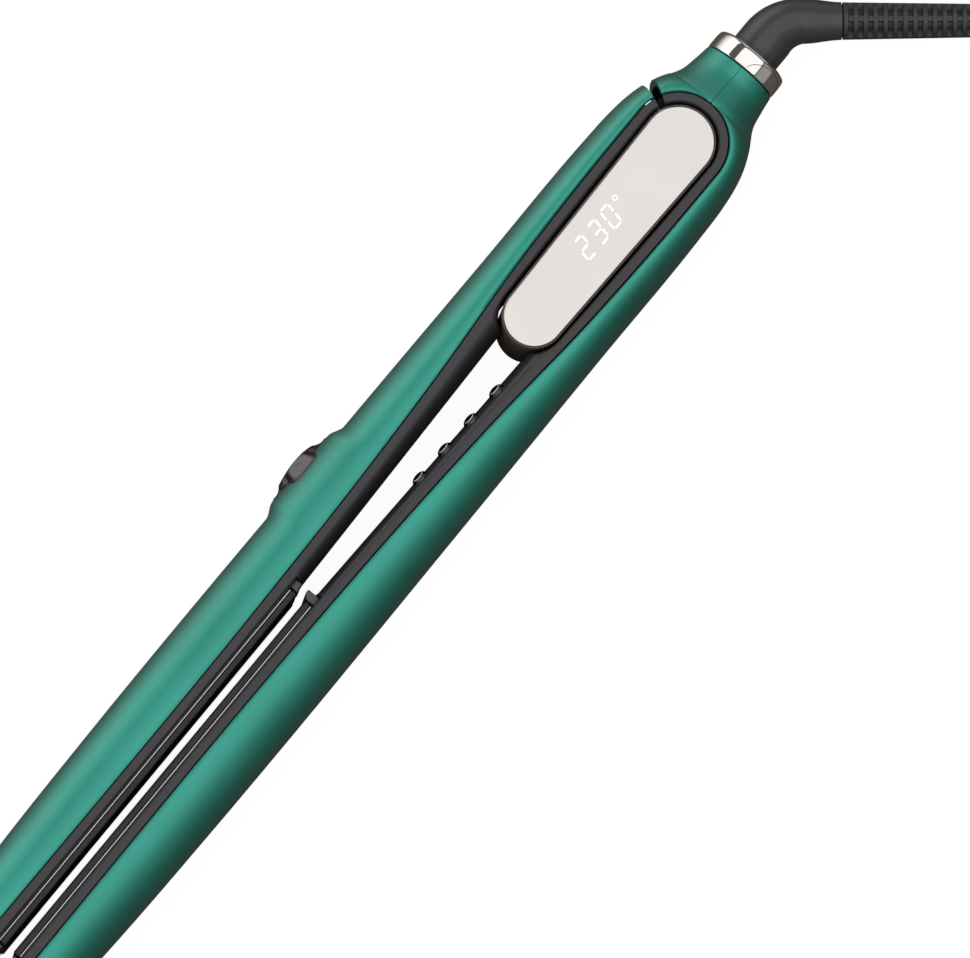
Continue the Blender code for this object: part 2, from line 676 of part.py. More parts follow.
def make_end_blocks(prefix, side, looks, plate):
    """Grey blocks past both ends of a plate; the lower arm's root block stands up as a guide."""
    rise = 0.1 if side > 0 else 1.9
    edge = 3.6
    root = PLATE_START - 0.3
    front = PLATE_FACE_Y + 0.1 if side > 0 else 1.4
    back = root - END_BLOCK + 0.4
    root_outline = [(root, edge), (root, front), (root - 1.1, rise), (back, rise), (back, edge)]
    tip = PLATE_END + 0.3
    tip_outline = [(tip, edge), (tip, 1.5), (tip + END_BLOCK - 0.4, 2.6), (tip + END_BLOCK - 0.4, edge)]
    for where, outline in (("root", root_outline), ("tip", tip_outline)):
        placed = [(x, side * y) for x, y in outline]
        piece = make_prism(
            f"{prefix}_end_block_{where}", placed, AXIS_Z - 11.8, AXIS_Z + 11.8, "z", looks["grey"], plate
        )
        bevel(piece, 0.2)


# ---------------------------------------------------------------- buttons and boards
def make_power_button(looks, arm, button):
    """Eye-shaped bezel that follows the mound and arches over it, and the round button in it."""

    def top(x, z, lift):
        seam = seam_y(x) + SEAM_GAP
        reach = outer_y(x, True) - seam
        share = (1 - (abs(z) / HALF_DEPTH) ** 2.25) ** (1 / 2.25)
        return -(seam + reach * share + lift)

    def rim(angle):
        c, s = abs(math.cos(angle)), abs(math.sin(angle))
        leaf = 1 / ((c / BEZEL_HALF_LENGTH) ** 1.6 + (s / BEZEL_HALF_WIDTH) ** 1.6) ** (1 / 1.6)
        eye = 1 / ((c / BEZEL_EYE[0]) ** 6 + (s / BEZEL_EYE[1]) ** 6) ** (1 / 6)
        return max(leaf, eye)

    vertices, faces = [], []
    count = 40
    inner_r = POWER_BUTTON_R + 0.3
    # share of the way out to the rim, height above the mound, and how much of the arch is added
    rows = ((0, 0.4, 0), (0, 0.9, 0), (0.25, 0.75, 0.75), (0.6, 0.65, 0.5), (1, 0.6, 0.1), (1, 0.4, 0))
    for k in range(count):
        angle = 2 * math.pi * k / count
        for share, lift, arch in rows:
            r = inner_r + (rim(angle) - inner_r) * share
            x, z = MOUND_X + r * math.cos(angle), r * math.sin(angle)
            lift += arch * (1 - ((x - MOUND_X) / BEZEL_HALF_LENGTH) ** 2)
            vertices.append((x, top(x, z, lift), AXIS_Z + z))
    wide = len(rows)
    for k in range(count):
        m = (k + 1) % count
        for j in range(wide):
            n = (j + 1) % wide
            faces.append((k * wide + j, m * wide + j, m * wide + n, k * wide + n))
    make_piece("power_bezel", vertices, faces, looks["gloss"], arm)
    back = -outer_y(MOUND_X, True)
    profile = (
        (-0.9, 2.6), (-0.75, POWER_BUTTON_R - 0.6), (-0.35, POWER_BUTTON_R), (2.2, POWER_BUTTON_R),
        (2.2, 5.1), (2.9, 5.1), (2.9, 1.6), (4.4, 1.6),
    )
    make_turned("power_button", profile, (MOUND_X, back, AXIS_Z), (0, 1, 0), looks["gloss"], button, 24)
    board = make_box("power_switch_board", (104.0, -13.4, 8.0), (132.0, -12.4, 21.0), looks["board"], arm)
    switch = make_box("switch_body", (115.0, -15.0, 11.5), (121.0, -13.0, 17.5), None, arm)
    cut(board, switch, "UNION")


def make_control_buttons(looks, root, pivots):
    """Four domed buttons on the shoulder and, under them, one board with a switch for each."""
    low, high = BUTTON_XS[0] - 6.0, BUTTON_XS[-1] + 6.0
    middle = 0.5 * (BUTTON_XS[0] + BUTTON_XS[-1])
    centre, press = surface_button_axis(middle)
    across = Vector((0, math.sin(BUTTON_TILT), math.cos(BUTTON_TILT)))
    outline = []
    for depth, width in ((4.6, -5.0), (4.6, 0.3), (5.5, 0.3), (5.5, -5.0)):
        point = centre + press * depth + across * width
        outline.append((point.y, point.z))
    board = make_prism("button_board", outline, low, high, "x", looks["board"], root)
    for number, x in enumerate(BUTTON_XS, 1):
        place, press = surface_button_axis(x)
        level = (centre - place).dot(press) + 4.8
        switch = make_turned(
            f"switch_{number}", ((level - 1.5, 0.9), (level, 0.9)), place, press, None, root, 10
        )
        cut(board, switch, "UNION")
        profile = (
            (-1.1, 0.6), (-1.0, 1.2), (-0.7, 1.75), (-0.25, BUTTON_R - 0.1), (0.1, BUTTON_R), (BUTTON_LENGTH, BUTTON_R),
        )
        make_turned(f"button_{number}", profile, place, press, looks["gloss"], pivots[number - 1], 14)


def make_control_board(looks, root):
    board = make_box("control_board", (66.0, 11.6, 6.5), (134.0, 12.8, 22.5), looks["board"], root)
    parts = (("relay", (110, 8.6, 9), (126, 12.0, 18)), ("chip", (92, 10.4, 10), (100, 12.0, 18)))
    for name, low, high in parts:
        cut(board, make_box(name, low, high, None, root), "UNION")
    profile = ((0.0, 2.0), (0.3, 2.4), (9.4, 2.4), (9.7, 2.0))
    make_turned("filter_capacitor", profile, (74, 8.8, 9.0), (0, 0, 1), looks["gloss"], root, 14)


# ---------------------------------------------------------------- tail and cord
def make_collar(looks, collar):
    """Polished ring: a cup that slides on the socket, with a lip round the elbow."""
    length = COLLAR_START - COLLAR_END
    bore, lip, lip_start = 8.45, 6.85, length - 1.1
    profile = (
        (0.0, bore), (0.0, COLLAR_R - 0.25), (0.3, COLLAR_R), (length - 1.3, COLLAR_R - 0.3),
        (length, COLLAR_R - 1.2), (length, lip), (lip_start, lip), (lip_start, bore),
    )
    start = (COLLAR_START, 0, AXIS_Z)
    make_turned("lock_collar", profile, start, (-1, 0, 0), looks["chrome"], collar, 32, ring=True)


def make_swivel_socket(looks, root):
    """Fixed socket in the neck that the elbow turns in, and the block with the contact brushes."""
    bore = JOURNAL_R + 0.35
    start, back = (-16.0, 0, AXIS_Z), (-1, 0, 0)
    profile = ((0.0, bore), (0.0, SOCKET_R - 0.3), (0.3, SOCKET_R), (12.4, SOCKET_R), (12.4, bore))
    socket = make_turned("swivel_socket", profile, start, back, looks["nylon"], root, 24, ring=True)
    profile = ((0.0, bore), (0.0, 8.8), (1.2, 8.8), (1.2, bore))
    flange = make_turned("socket_flange", profile, start, back, None, root, 24, ring=True)
    cut(socket, flange, "UNION")
    make_box("brush_block", (-13.6, -3.5, 10.0), (-12.7, 3.5, 19.0), looks["brass"], root, 0.15)


def elbow_path():
    """Centres, directions and radii from the journal's front end to the strain relief."""
    centres, directions, radii = [], [], []

    def add(x, radius):
        centres.append(Vector((x, 0, AXIS_Z)))
        directions.append(Vector((-1, 0, 0)))
        radii.append(radius)

    for x, radius in ((-14.1, 6.2), (-14.3, 6.5), (-15.6, 6.5), (-15.6, JOURNAL_R), (-28.75, JOURNAL_R),
                      (-28.75, ELBOW_R - 0.2), (-28.95, ELBOW_R)):
        add(x, radius)
    tangent = BEND_RADIUS * math.tan(BEND_ANGLE / 2)
    start = Vector((BEND_CORNER_X + tangent, 0, AXIS_Z))
    pivot = start + Vector((0, BEND_RADIUS, 0))
    steps = 8
    for i in range(steps + 1):
        a = BEND_ANGLE * i / steps
        centres.append(pivot + BEND_RADIUS * Vector((-math.sin(a), -math.cos(a), 0)))
        directions.append(Vector((-math.cos(a), math.sin(a), 0)))
        radii.append(ELBOW_R - 0.9 * i / steps)
    along = directions[-1]
    corner = Vector((BEND_CORNER_X, 0, AXIS_Z))
    centres.append(corner + along * (RELIEF_START - 0.3))
    directions.append(along)
    radii.append(RELIEF_R)
    return centres, directions, radii, corner, along


def make_elbow_and_relief(looks, swivel):
    centres, directions, radii, corner, along = elbow_path()
    vertices, faces = sweep(centres, directions, radii, 24)
    make_piece("cord_elbow", vertices, faces, looks["elbow"], swivel)
    profile = [(0.0, RELIEF_R - 0.5)]
    ribs = int(RELIEF_LENGTH / RIB_PITCH)
    for i in range(ribs):
        start = i * RIB_PITCH
        radius = RELIEF_R - 0.5 * i / ribs
        profile += [(start + 0.01, radius), (start + 1.5, radius), (start + 1.5, radius - 0.9)]
        profile.append((start + RIB_PITCH, radius - 0.9))
    profile += [(ribs * RIB_PITCH + 0.01, 3.6), (RELIEF_LENGTH, 3.4)]
    make_turned("strain_relief", profile, corner + along * RELIEF_START, along, looks["rubber"], swivel, 12)


def smooth_route(points, count):
    """Points on a smooth curve through the route's own points."""
    route = np.array(points, float)
    steps = np.linalg.norm(np.diff(route, axis=0), axis=1)
    distance = np.concatenate([[0.0], np.cumsum(steps)])
    wanted = np.linspace(0.0, distance[-1], count)
    columns = [curve(np.column_stack([distance, route[:, k]]), wanted) for k in range(3)]
    return np.column_stack(columns)


def make_cord(looks, swivel):
    make_tube("cord", smooth_route(CORD_ROUTE, 14), CORD_R, looks["cord"], swivel, 2)
    inside, outside = COIL_MID_R - COIL_HALF_WIDTH, COIL_MID_R + COIL_HALF_WIDTH
    shoulder = COIL_HEIGHT - 2.0
    profile = (
        (0.0, inside + 1), (0.0, outside - 1), (2.0, outside), (shoulder, outside),
        (COIL_HEIGHT, outside - 3), (COIL_HEIGHT, inside + 3), (shoulder, inside), (2.0, inside),
    )
    start = (COIL_X, COIL_Y, 0)
    make_turned("cord_coil", profile, start, (0, 0, 1), looks["cord"], swivel, 32, ring=True)
    arc_r, height = LEAD_BEND_R, PLUG_BASE_Z + CORD_R
    middle = COIL_X - (LAST_TURN_R - arc_r)
    points = []
    for i in range(9):
        a = math.pi + math.pi / 2 * (i + 0.5) / 8.5
        points.append((middle + arc_r * math.cos(a), COIL_Y + arc_r * math.sin(a), height))
    make_tube("cord_end", points, CORD_R, looks["cord"], swivel, 2)
    make_plug(looks, swivel, (middle + 0.4, COIL_Y - arc_r))


def make_coil_tie(looks, swivel):
    """A strap round the coil's turns on the side away from the plug."""
    half, height = COIL_HALF_WIDTH, COIL_HEIGHT
    outline = [(-half - 1.3, 0.0), (half + 1.3, 0.0), (half + 1.3, height + 1.3), (-half - 1.3, height + 1.3)]
    centre = COIL_Y + COIL_MID_R
    placed = [(centre + a, b) for a, b in outline]
    strap = make_prism("coil_tie", placed, COIL_X - 14.0, COIL_X - 5.0, "x", looks["strap"], swivel)
    inside, outside, top = COIL_MID_R - half - 0.35, COIL_MID_R + half + 0.35, height + 0.35
    ring = ((-1.0, inside), (-1.0, outside), (top, outside), (top, inside))
    cutter = make_turned("tie_cutter", ring, (COIL_X, COIL_Y, 0), (0, 0, 1), None, swivel, 48, ring=True)
    cut(strap, cutter)


def make_plug(looks, swivel, place):
    """Flat two-pin plug that lies on the coil, with its boot towards the cord."""
    x0, y0 = place
    middle = PLUG_BASE_Z + 6.85
    low = PLUG_BASE_Z + CORD_R
    sections = (
        (0.0, 3.6, 3.4, low + 0.4), (12.0, 4.6, 4.4, low + 1.5), (14.0, 8.0, 6.6, middle),
        (20.0, 14.0, 6.85, middle), (47.0, 17.6, 6.85, middle), (48.0, 17.0, 6.3, middle),
    )
    vertices, faces, count = [], [], 20
    for along, width, height, level in sections:
        for k in range(count):
            a = 2 * math.pi * k / count
            c, s = math.cos(a), math.sin(a)
            power = 2 / 3.5
            y = y0 + width * math.copysign(abs(c) ** power, c)
            z = level + height * math.copysign(abs(s) ** power, s)
            vertices.append((x0 + along, y, z))
    rows = len(sections)
    for i in range(rows - 1):
        for k in range(count):
            m = (k + 1) % count
            faces.append((i * count + k, i * count + m, (i + 1) * count + m, (i + 1) * count + k))
    faces.append(tuple(range(count)))
    faces.append(tuple((rows - 1) * count + k for k in range(count)))
    make_piece("plug_body", vertices, faces, looks["rubber"], swivel)
    for number, y in enumerate((y0 - 9.3, y0 + 9.3), 1):
        profile = ((0.0, 2.0), (18.2, 2.0), (19.0, 1.1))
        start = (x0 + 48.3, y, middle)
        make_turned(f"plug_pin_{number}", profile, start, (1, 0, 0), looks["brass"], swivel, 14)


# ---------------------------------------------------------------- assembly
def make_looks():
    return {
        "green": make_material("green_satin", (0.06, 0.30, 0.24), 0.36, 0.6),
        "black": make_material("black_soft", (0.03, 0.03, 0.031), 0.5),
        "pod": make_material("pod_metal", (0.16, 0.14, 0.13), 0.3, 0.8),
        "mirror": make_material("display_mirror", (0.72, 0.71, 0.69), 0.12, 0.9),
        "plate": make_material("plate_coating", (0.08, 0.08, 0.08), 0.28, 0.6),
        "grey": make_material("grey_block", (0.12, 0.12, 0.12), 0.5),
        "gloss": make_material("gloss_black", (0.02, 0.02, 0.022), 0.12),
        "chrome": make_material("collar_chrome", (0.8, 0.8, 0.8), 0.08, 1.0),
        "elbow": make_material("elbow_grey", (0.07, 0.07, 0.075), 0.4),
        "rubber": make_material("relief_rubber", (0.03, 0.03, 0.03), 0.55),
        "cord": make_material("cord_sheath", (0.03, 0.03, 0.03), 0.5),
        "strap": make_material("tie_strap", (0.02, 0.02, 0.02), 0.8),
        "steel": make_material("spring_steel", (0.55, 0.55, 0.55), 0.3, 1.0),
        "aluminium": make_material("clamp_aluminium", (0.7, 0.7, 0.7), 0.35, 1.0),
        "ceramic": make_material("heater_ceramic", (0.75, 0.73, 0.7), 0.6),
        "dark": make_material("tray_pps", (0.03, 0.03, 0.03), 0.5),
        "nylon": make_material("hinge_nylon", (0.1, 0.1, 0.1), 0.5),
        "board": make_material("circuit_board", (0.02, 0.15, 0.05), 0.5),
        "brass": make_material("contact_brass", (0.75, 0.6, 0.3), 0.25, 1.0),
    }


def main():
    clear_scene()
    looks = make_looks()
    root = make_pivot("root_frame", (0, 0, 0))
    arm = make_pivot("arm_hinge_axis", (0, 0, AXIS_Z), root)
    middle = 0.5 * (PLATE_START + PLATE_END)
    lower_plate = make_pivot("lower_plate_axis", (middle, 0, AXIS_Z), root)
    upper_plate = make_pivot("upper_plate_axis", (middle, 0, AXIS_Z), arm)
    power = make_pivot("power_button_axis", (MOUND_X, -outer_y(MOUND_X, True), AXIS_Z), arm)
    places = [tuple(surface_button_axis(x)[0]) for x in BUTTON_XS]
    buttons = [make_pivot(f"button_axis_{n}", place, root) for n, place in enumerate(places, 1)]
    collar = make_pivot("collar_axis", (COLLAR_START, 0, AXIS_Z), root)
    swivel = make_pivot("cord_swivel_axis", (-22.0, 0, AXIS_Z), root)

    make_lower_outer_shell(looks, root)
    make_tail_cap(looks, root)
    make_lower_inner_shell(looks, root)
    make_pod(looks, root)
    make_display(looks, root)
    make_hinge(looks, root)
    make_upper_outer_shell(looks, arm)
    make_upper_inner_shell(looks, arm)
    make_hinge_arm(looks, arm)
    make_plate_set("lower", 1, looks, root, lower_plate)
    make_plate_set("upper", -1, looks, arm, upper_plate)
    make_power_button(looks, arm, power)
    make_control_buttons(looks, root, buttons)
    make_control_board(looks, root)
    make_collar(looks, collar)
    make_swivel_socket(looks, root)
    make_elbow_and_relief(looks, swivel)
    make_cord(looks, swivel)
    make_coil_tie(looks, swivel)


main()
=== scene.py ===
import bmesh
import bpy
import numpy as np
from mathutils import Matrix, Vector


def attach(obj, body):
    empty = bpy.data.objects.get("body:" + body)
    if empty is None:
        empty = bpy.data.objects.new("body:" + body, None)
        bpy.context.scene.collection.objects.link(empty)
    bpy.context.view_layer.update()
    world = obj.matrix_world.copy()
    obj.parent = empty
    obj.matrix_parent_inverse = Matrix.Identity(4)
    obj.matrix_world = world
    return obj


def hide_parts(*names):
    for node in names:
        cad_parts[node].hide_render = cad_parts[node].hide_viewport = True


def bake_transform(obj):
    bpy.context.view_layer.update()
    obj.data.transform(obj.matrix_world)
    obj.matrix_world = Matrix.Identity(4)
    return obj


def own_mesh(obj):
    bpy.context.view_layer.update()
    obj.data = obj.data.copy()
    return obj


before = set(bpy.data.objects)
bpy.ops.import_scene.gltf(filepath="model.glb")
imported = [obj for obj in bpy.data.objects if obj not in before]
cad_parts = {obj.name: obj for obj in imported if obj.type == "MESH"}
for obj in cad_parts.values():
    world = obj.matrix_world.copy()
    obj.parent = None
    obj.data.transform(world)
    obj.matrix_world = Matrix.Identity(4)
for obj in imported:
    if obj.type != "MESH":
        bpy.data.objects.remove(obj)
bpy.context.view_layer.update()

# ---- Studio: white sweep, one broad softbox overhead, one beside the upper arm, dim ones elsewhere.
# The camera stands over the iron, leaning a little towards the tip and the lower arm.
MM = 0.001
TOP = 29.0  # height of the display side
LOOK_AT = (93.1, 15.9)
VIEW_MM = 232.6  # width of the view where the iron's top is
LENS_MM, SENSOR_MM = 600.0, 36.0
LEAN_TO_TIP, LEAN_TO_SIDE = np.radians(7.2), np.radians(2.0)
TURN = np.radians(50.35)  # of the iron's length in the view


def hex_colour(code):
    """sRGB hex to linear light: c / 12.92 up to 0.04045, else ((c + 0.055) / 1.055) ** 2.4."""
    c = np.array([int(code[i:i + 2], 16) for i in (0, 2, 4)]) / 255
    return (*np.where(c <= 0.04045, c / 12.92, ((c + 0.055) / 1.055) ** 2.4), 1.0)


def add(tree, kind, inputs=None, **settings):
    """One shader node: settings are its own values, inputs maps a socket to a value or an output."""
    made = tree.nodes.new("ShaderNode" + kind)
    for name, value in settings.items():
        setattr(made, name, value)
    for name, value in (inputs or {}).items():
        socket = made.inputs[name]
        if isinstance(value, bpy.types.NodeSocket):
            tree.links.new(value, socket)
        else:
            socket.default_value = value
    return made


def new_material(name):
    """An empty material, its node tree and the piece's own coordinates."""
    look = bpy.data.materials.new(name)
    look.use_nodes = True
    look.node_tree.nodes.clear()
    return look, look.node_tree, add(look.node_tree, "TexCoord").outputs["Object"]


def show(tree, shader):
    """Sends a shader to the material's surface."""
    add(tree, "OutputMaterial", {"Surface": shader})


def place_camera():
    """Up, right and back axes from the iron's turn in the view and the two leans."""
    back = Vector((np.sin(LEAN_TO_TIP), np.sin(LEAN_TO_SIDE), np.cos(LEAN_TO_TIP))).normalized()
    tail = Vector((-1, 0, 0))
    tail = (tail - back * tail.dot(back)).normalized()
    side = tail.cross(back)
    side = side if side.y > 0 else -side
    up = (tail * np.sin(TURN) - side * np.cos(TURN)).normalized()
    right = up.cross(back)
    data = bpy.data.cameras.new("camera")
    data.lens, data.sensor_width = LENS_MM, SENSOR_MM
    distance = VIEW_MM * LENS_MM / SENSOR_MM * MM
    data.clip_start, data.clip_end = 0.1, 40.0
    camera = bpy.data.objects.new("camera", data)
    bpy.context.collection.objects.link(camera)
    centre = Vector((LOOK_AT[0], LOOK_AT[1], TOP)) * MM
    turn = Matrix((right, up, back)).transposed().to_4x4()
    camera.matrix_world = Matrix.Translation(centre + back * distance) @ turn
    bpy.context.scene.camera = camera


def softbox(name, lean, end_lean, half_angles, strength):
    """An area light 2 m from the iron that faces it. lean tips it from overhead towards +Y and end_lean
    towards +X; the half angles are its reach across and along; strength is how bright its face is."""
    distance = 2.0
    way = Vector((np.sin(end_lean), np.sin(lean) * np.cos(end_lean), np.cos(lean) * np.cos(end_lean)))
    data = bpy.data.lights.new(name, "AREA")
    data.shape = "RECTANGLE"
    data.size, data.size_y = (2 * distance * np.tan(np.radians(half)) for half in half_angles[::-1])
    data.energy = strength * np.pi * data.size * data.size_y
    lamp = bpy.data.objects.new(name, data)
    bpy.context.collection.objects.link(lamp)
    along = Vector((1, 0, 0)) if end_lean == 0 else Vector((0, 1, 0))
    across = way.cross(along).normalized()
    turn = Matrix((along, across, way)).transposed().to_4x4()
    lamp.matrix_world = Matrix.Translation(Vector((0.09, 0.0, 0.0)) + way * distance) @ turn


place_camera()
for name, lean, end_lean, half_angles, strength in (
    ("overhead", 4.0, 0.0, (36.0, 42.0), 1.06),
    ("upper_arm_side", -74.0, 0.0, (18.0, 42.0), 1.35),
    ("lower_arm_side", 62.0, 0.0, (18.0, 40.0), 0.22),
    ("tail_end", 0.0, -75.0, (20.0, 30.0), 0.4),
    ("tip_end", 0.0, 75.0, (20.0, 30.0), 0.4),
):
    softbox(name, np.radians(lean), np.radians(end_lean), half_angles, strength)

world = bpy.data.worlds.new("studio")
bpy.context.scene.world = world
world.use_nodes = True
world.node_tree.nodes.clear()
seen = add(world.node_tree, "LightPath").outputs["Is Camera Ray"]
sky = add(world.node_tree, "MixRGB", {
    "Fac": seen, "Color1": hex_colour("5A5651"), "Color2": hex_colour("FDFDFD"),
})
glow = add(world.node_tree, "Background", {"Color": sky.outputs[0], "Strength": 1.0})
add(world.node_tree, "OutputWorld", {"Surface": glow.outputs[0]})
bpy.context.scene.view_settings.view_transform = "Standard"

# White sweep: seen as bare white paper; to what the iron's underside mirrors it is darker and warmer, a
# painted shade, with a painted glow out on the lit -Y side.
sweep_look, tree, place = new_material("matt white paper")
seen = add(tree, "LightPath").outputs["Is Camera Ray"]
fibre = add(tree, "TexNoise", {"Vector": place, "Scale": 900.0, "Detail": 3.0}).outputs["Fac"]
paper = add(tree, "ValToRGB", {"Fac": fibre})
paper.color_ramp.elements[0].color = hex_colour("E9E8E6")
paper.color_ramp.elements[1].color = hex_colour("F2F1F0")
level = add(tree, "SeparateXYZ", {"Vector": place}).outputs["Y"]
# painted light in the floor's reflection: an emission that grows out towards -Y, the lit side, over a dark
# brown-grey painted shade
far = add(tree, "MapRange", {
    "Value": level, "From Min": -0.035, "From Max": -0.11, "To Min": 0.0, "To Max": 0.85,
})
mirrored_floor_shade = add(tree, "BsdfDiffuse", {"Color": hex_colour("6A625B")})
mirrored_lit_side_glow = add(tree, "Emission", {"Color": hex_colour("FAF8F5"), "Strength": far.outputs[0]})
bounce = add(tree, "AddShader", {0: mirrored_floor_shade.outputs[0], 1: mirrored_lit_side_glow.outputs[0]})
sheet = add(tree, "BsdfDiffuse", {"Color": paper.outputs[0]})
lit = add(tree, "Emission", {"Color": hex_colour("FFFFFF"), "Strength": 1.08})
white = add(tree, "MixShader", {0: 0.88, 1: sheet.outputs[0], 2: lit.outputs[0]})
both = add(tree, "MixShader", {0: seen, 1: bounce.outputs[0], 2: white.outputs[0]})
show(tree, both.outputs[0])
floor_mesh = bpy.data.meshes.new("sweep")
corners = [(x, y, 0.0) for x, y in ((-6, -6), (6, -6), (6, 6), (-6, 6))]
floor_mesh.from_pydata(corners, [], [(0, 1, 2, 3)])
floor = bpy.data.objects.new("sweep", floor_mesh)
bpy.context.collection.objects.link(floor)
floor_mesh.materials.append(sweep_look)

# ---- Mains lead: 6 mm round rubber-sheathed flex, moulded into the strain relief.
# It runs out of the relief, comes down to the table and is wound into a two-layer coil behind the iron.
CORD_R = 3.0
AXIS_Z = 14.5  # mid-plane of the iron
COIL = np.array((-150.0, 24.5))
COIL_IN, COIL_OUT = 25.5, 43.5  # to the middle of the inmost and the outmost turn
COIL_MIDDLE = (COIL_IN + COIL_OUT) / 2
COIL_BAND = 12.35  # half of the band of turns, with a little play
STEP_START, STEP_WIDTH = 20.0, 75.0  # degrees: where each turn steps over by a diameter
ENTRY, LEAVE = 102.5, 180.0
TURNS = 7
LEAD_BEND_R = 28.0
LAYER_Z = (3.0, 9.0)
PLUG_CORD_Z = 15.35
CORD_ROUTE = (
    (-72.4, 37.5, 14.5), (-78.7, 44.1, 14.0), (-85.7, 50.2, 12.4), (-93.3, 55.5, 9.8),
    (-101.4, 60.0, 7.0), (-109.9, 63.7, 4.8), (-118.8, 66.4, 3.5), (-126.3, 67.9, 3.1),
    (-142.9, 69.0, 3.0), (-159.4, 67.0, 3.0),
)


def curve(points, x):
    """Cubic between points: end values and slopes weighted by (1+2t)(1-t)^2, t^2(3-2t) and so on."""
    xs, ys = np.array(points, float).T
    slope = np.gradient(ys, xs)
    x = np.clip(np.asarray(x, float), xs[0], xs[-1])
    i = np.clip(np.searchsorted(xs, x, side="right") - 1, 0, len(xs) - 2)
    step = xs[i + 1] - xs[i]
    t = (x - xs[i]) / step
    a = ys[i] * (1 + 2 * t) * (1 - t) ** 2 + ys[i + 1] * t * t * (3 - 2 * t)
    return a + step * (slope[i] * t * (1 - t) ** 2 - slope[i + 1] * t * t * (1 - t))


def ramp(x, start, end):
    """0 before start, 1 after end, t^2 (3 - 2t) between."""
    t = np.clip((np.asarray(x, float) - start) / (end - start), 0.0, 1.0)
    return t * t * (3 - 2 * t)


def through(points, spacing):
    """Points every spacing along a smooth curve through the given ones."""
    points = np.array(points, float)
    run = np.concatenate([[0.0], np.cumsum(np.linalg.norm(np.diff(points, axis=0), axis=1))])
    wanted = np.linspace(0.0, run[-1], int(run[-1] / spacing) + 2)
    return np.column_stack([curve(np.column_stack([run, points[:, k]]), wanted) for k in range(3)])


def cord_line():
    """Approach, then turns of constant radius that each step over by 6 mm, then a bend to the plug."""
    approach = through(CORD_ROUTE, 2.0)[:-1]
    angle = np.arange(ENTRY, LEAVE + 360.0 * TURNS + 0.1, 4.0)
    steps = [
        ramp(angle, STEP_START + 360 * k, STEP_START + STEP_WIDTH + 360 * k) for k in range(1, TURNS + 1)
    ]
    radius = COIL_OUT - 6.0 * sum(steps[:3]) + 6.0 * sum(steps[4:])
    lift = ramp(angle, STEP_START - 60 + 360 * 4, STEP_START + 40 + 360 * 4)
    last = ramp(angle, angle[-1] - 125.0, angle[-1])
    height = LAYER_Z[0] + (LAYER_Z[1] - LAYER_Z[0]) * lift + (PLUG_CORD_Z - LAYER_Z[1]) * last
    a = np.radians(angle)
    turns = np.column_stack([COIL[0] + radius * np.cos(a), COIL[1] + radius * np.sin(a), height])
    bend = np.radians(np.arange(184.0, 271.0, 4.0))
    middle = COIL[0] - (COIL_OUT - LEAD_BEND_R)
    end = np.column_stack([
        middle + LEAD_BEND_R * np.cos(bend), COIL[1] + LEAD_BEND_R * np.sin(bend),
        np.full(len(bend), PLUG_CORD_Z),
    ])
    return np.concatenate([approach, turns, end, [[middle + 3.0, COIL[1] - LEAD_BEND_R, PLUG_CORD_Z]]])


def tube_grid(line, radius, count=16):
    """centre + r (cos a side + sin a up): circles of the given radii carried along a path, with side level
    and up square to it and to the path."""
    along = np.gradient(line, axis=0)
    along /= np.linalg.norm(along, axis=1, keepdims=True)
    side = np.cross([0.0, 0.0, 1.0], along)
    side /= np.linalg.norm(side, axis=1, keepdims=True)
    up = np.cross(along, side)
    a = np.linspace(0.0, 2 * np.pi, count, endpoint=False)
    ring = np.cos(a)[None, :, None] * side[:, None] + np.sin(a)[None, :, None] * up[:, None]
    return line[:, None] + np.broadcast_to(radius, (len(line), count))[:, :, None] * ring


def closed_mesh(name, grids, loop=False):
    """Quads between neighbouring points of each grid (millimetres, row by row), closed round each row, with
    the last row joined to the first if loop, else with flat ends. Doubles merged, faces outward."""
    vertices, faces, start = [], [], 0
    for grid in grids if isinstance(grids, list) else [grids]:
        rows, columns = grid.shape[:2]
        index = start + np.arange(rows * columns).reshape(rows, columns)
        if loop:
            index = np.concatenate([index, index[:1]])
        ahead = np.roll(index, -1, axis=1)
        faces += np.stack([index[:-1], ahead[:-1], ahead[1:], index[1:]], axis=-1).reshape(-1, 4).tolist()
        if not loop:
            faces += [index[0][::-1].tolist(), index[-1].tolist()]
        vertices.append(grid.reshape(-1, 3))
        start += rows * columns
    mesh = bpy.data.meshes.new(name)
    mesh.from_pydata(np.concatenate(vertices) * MM, [], faces)
    work = bmesh.new()
    work.from_mesh(mesh)
    bmesh.ops.remove_doubles(work, verts=work.verts, dist=2e-6)
    bmesh.ops.recalc_face_normals(work, faces=work.faces)
    work.to_mesh(mesh)
    work.free()
    return mesh


def surface(name, grids, look, body, sharp=35.0, loop=False):
    """A closed mesh as a piece: smooth shaded with sharp edges past the given angle, riding on its body."""
    mesh = closed_mesh(name, grids, loop)
    mesh.shade_smooth()
    mesh.set_sharp_from_angle(angle=np.radians(sharp))
    mesh.materials.append(look)
    piece = bpy.data.objects.new(name, mesh)
    bpy.context.collection.objects.link(piece)
    if body:
        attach(piece, body)
    return piece


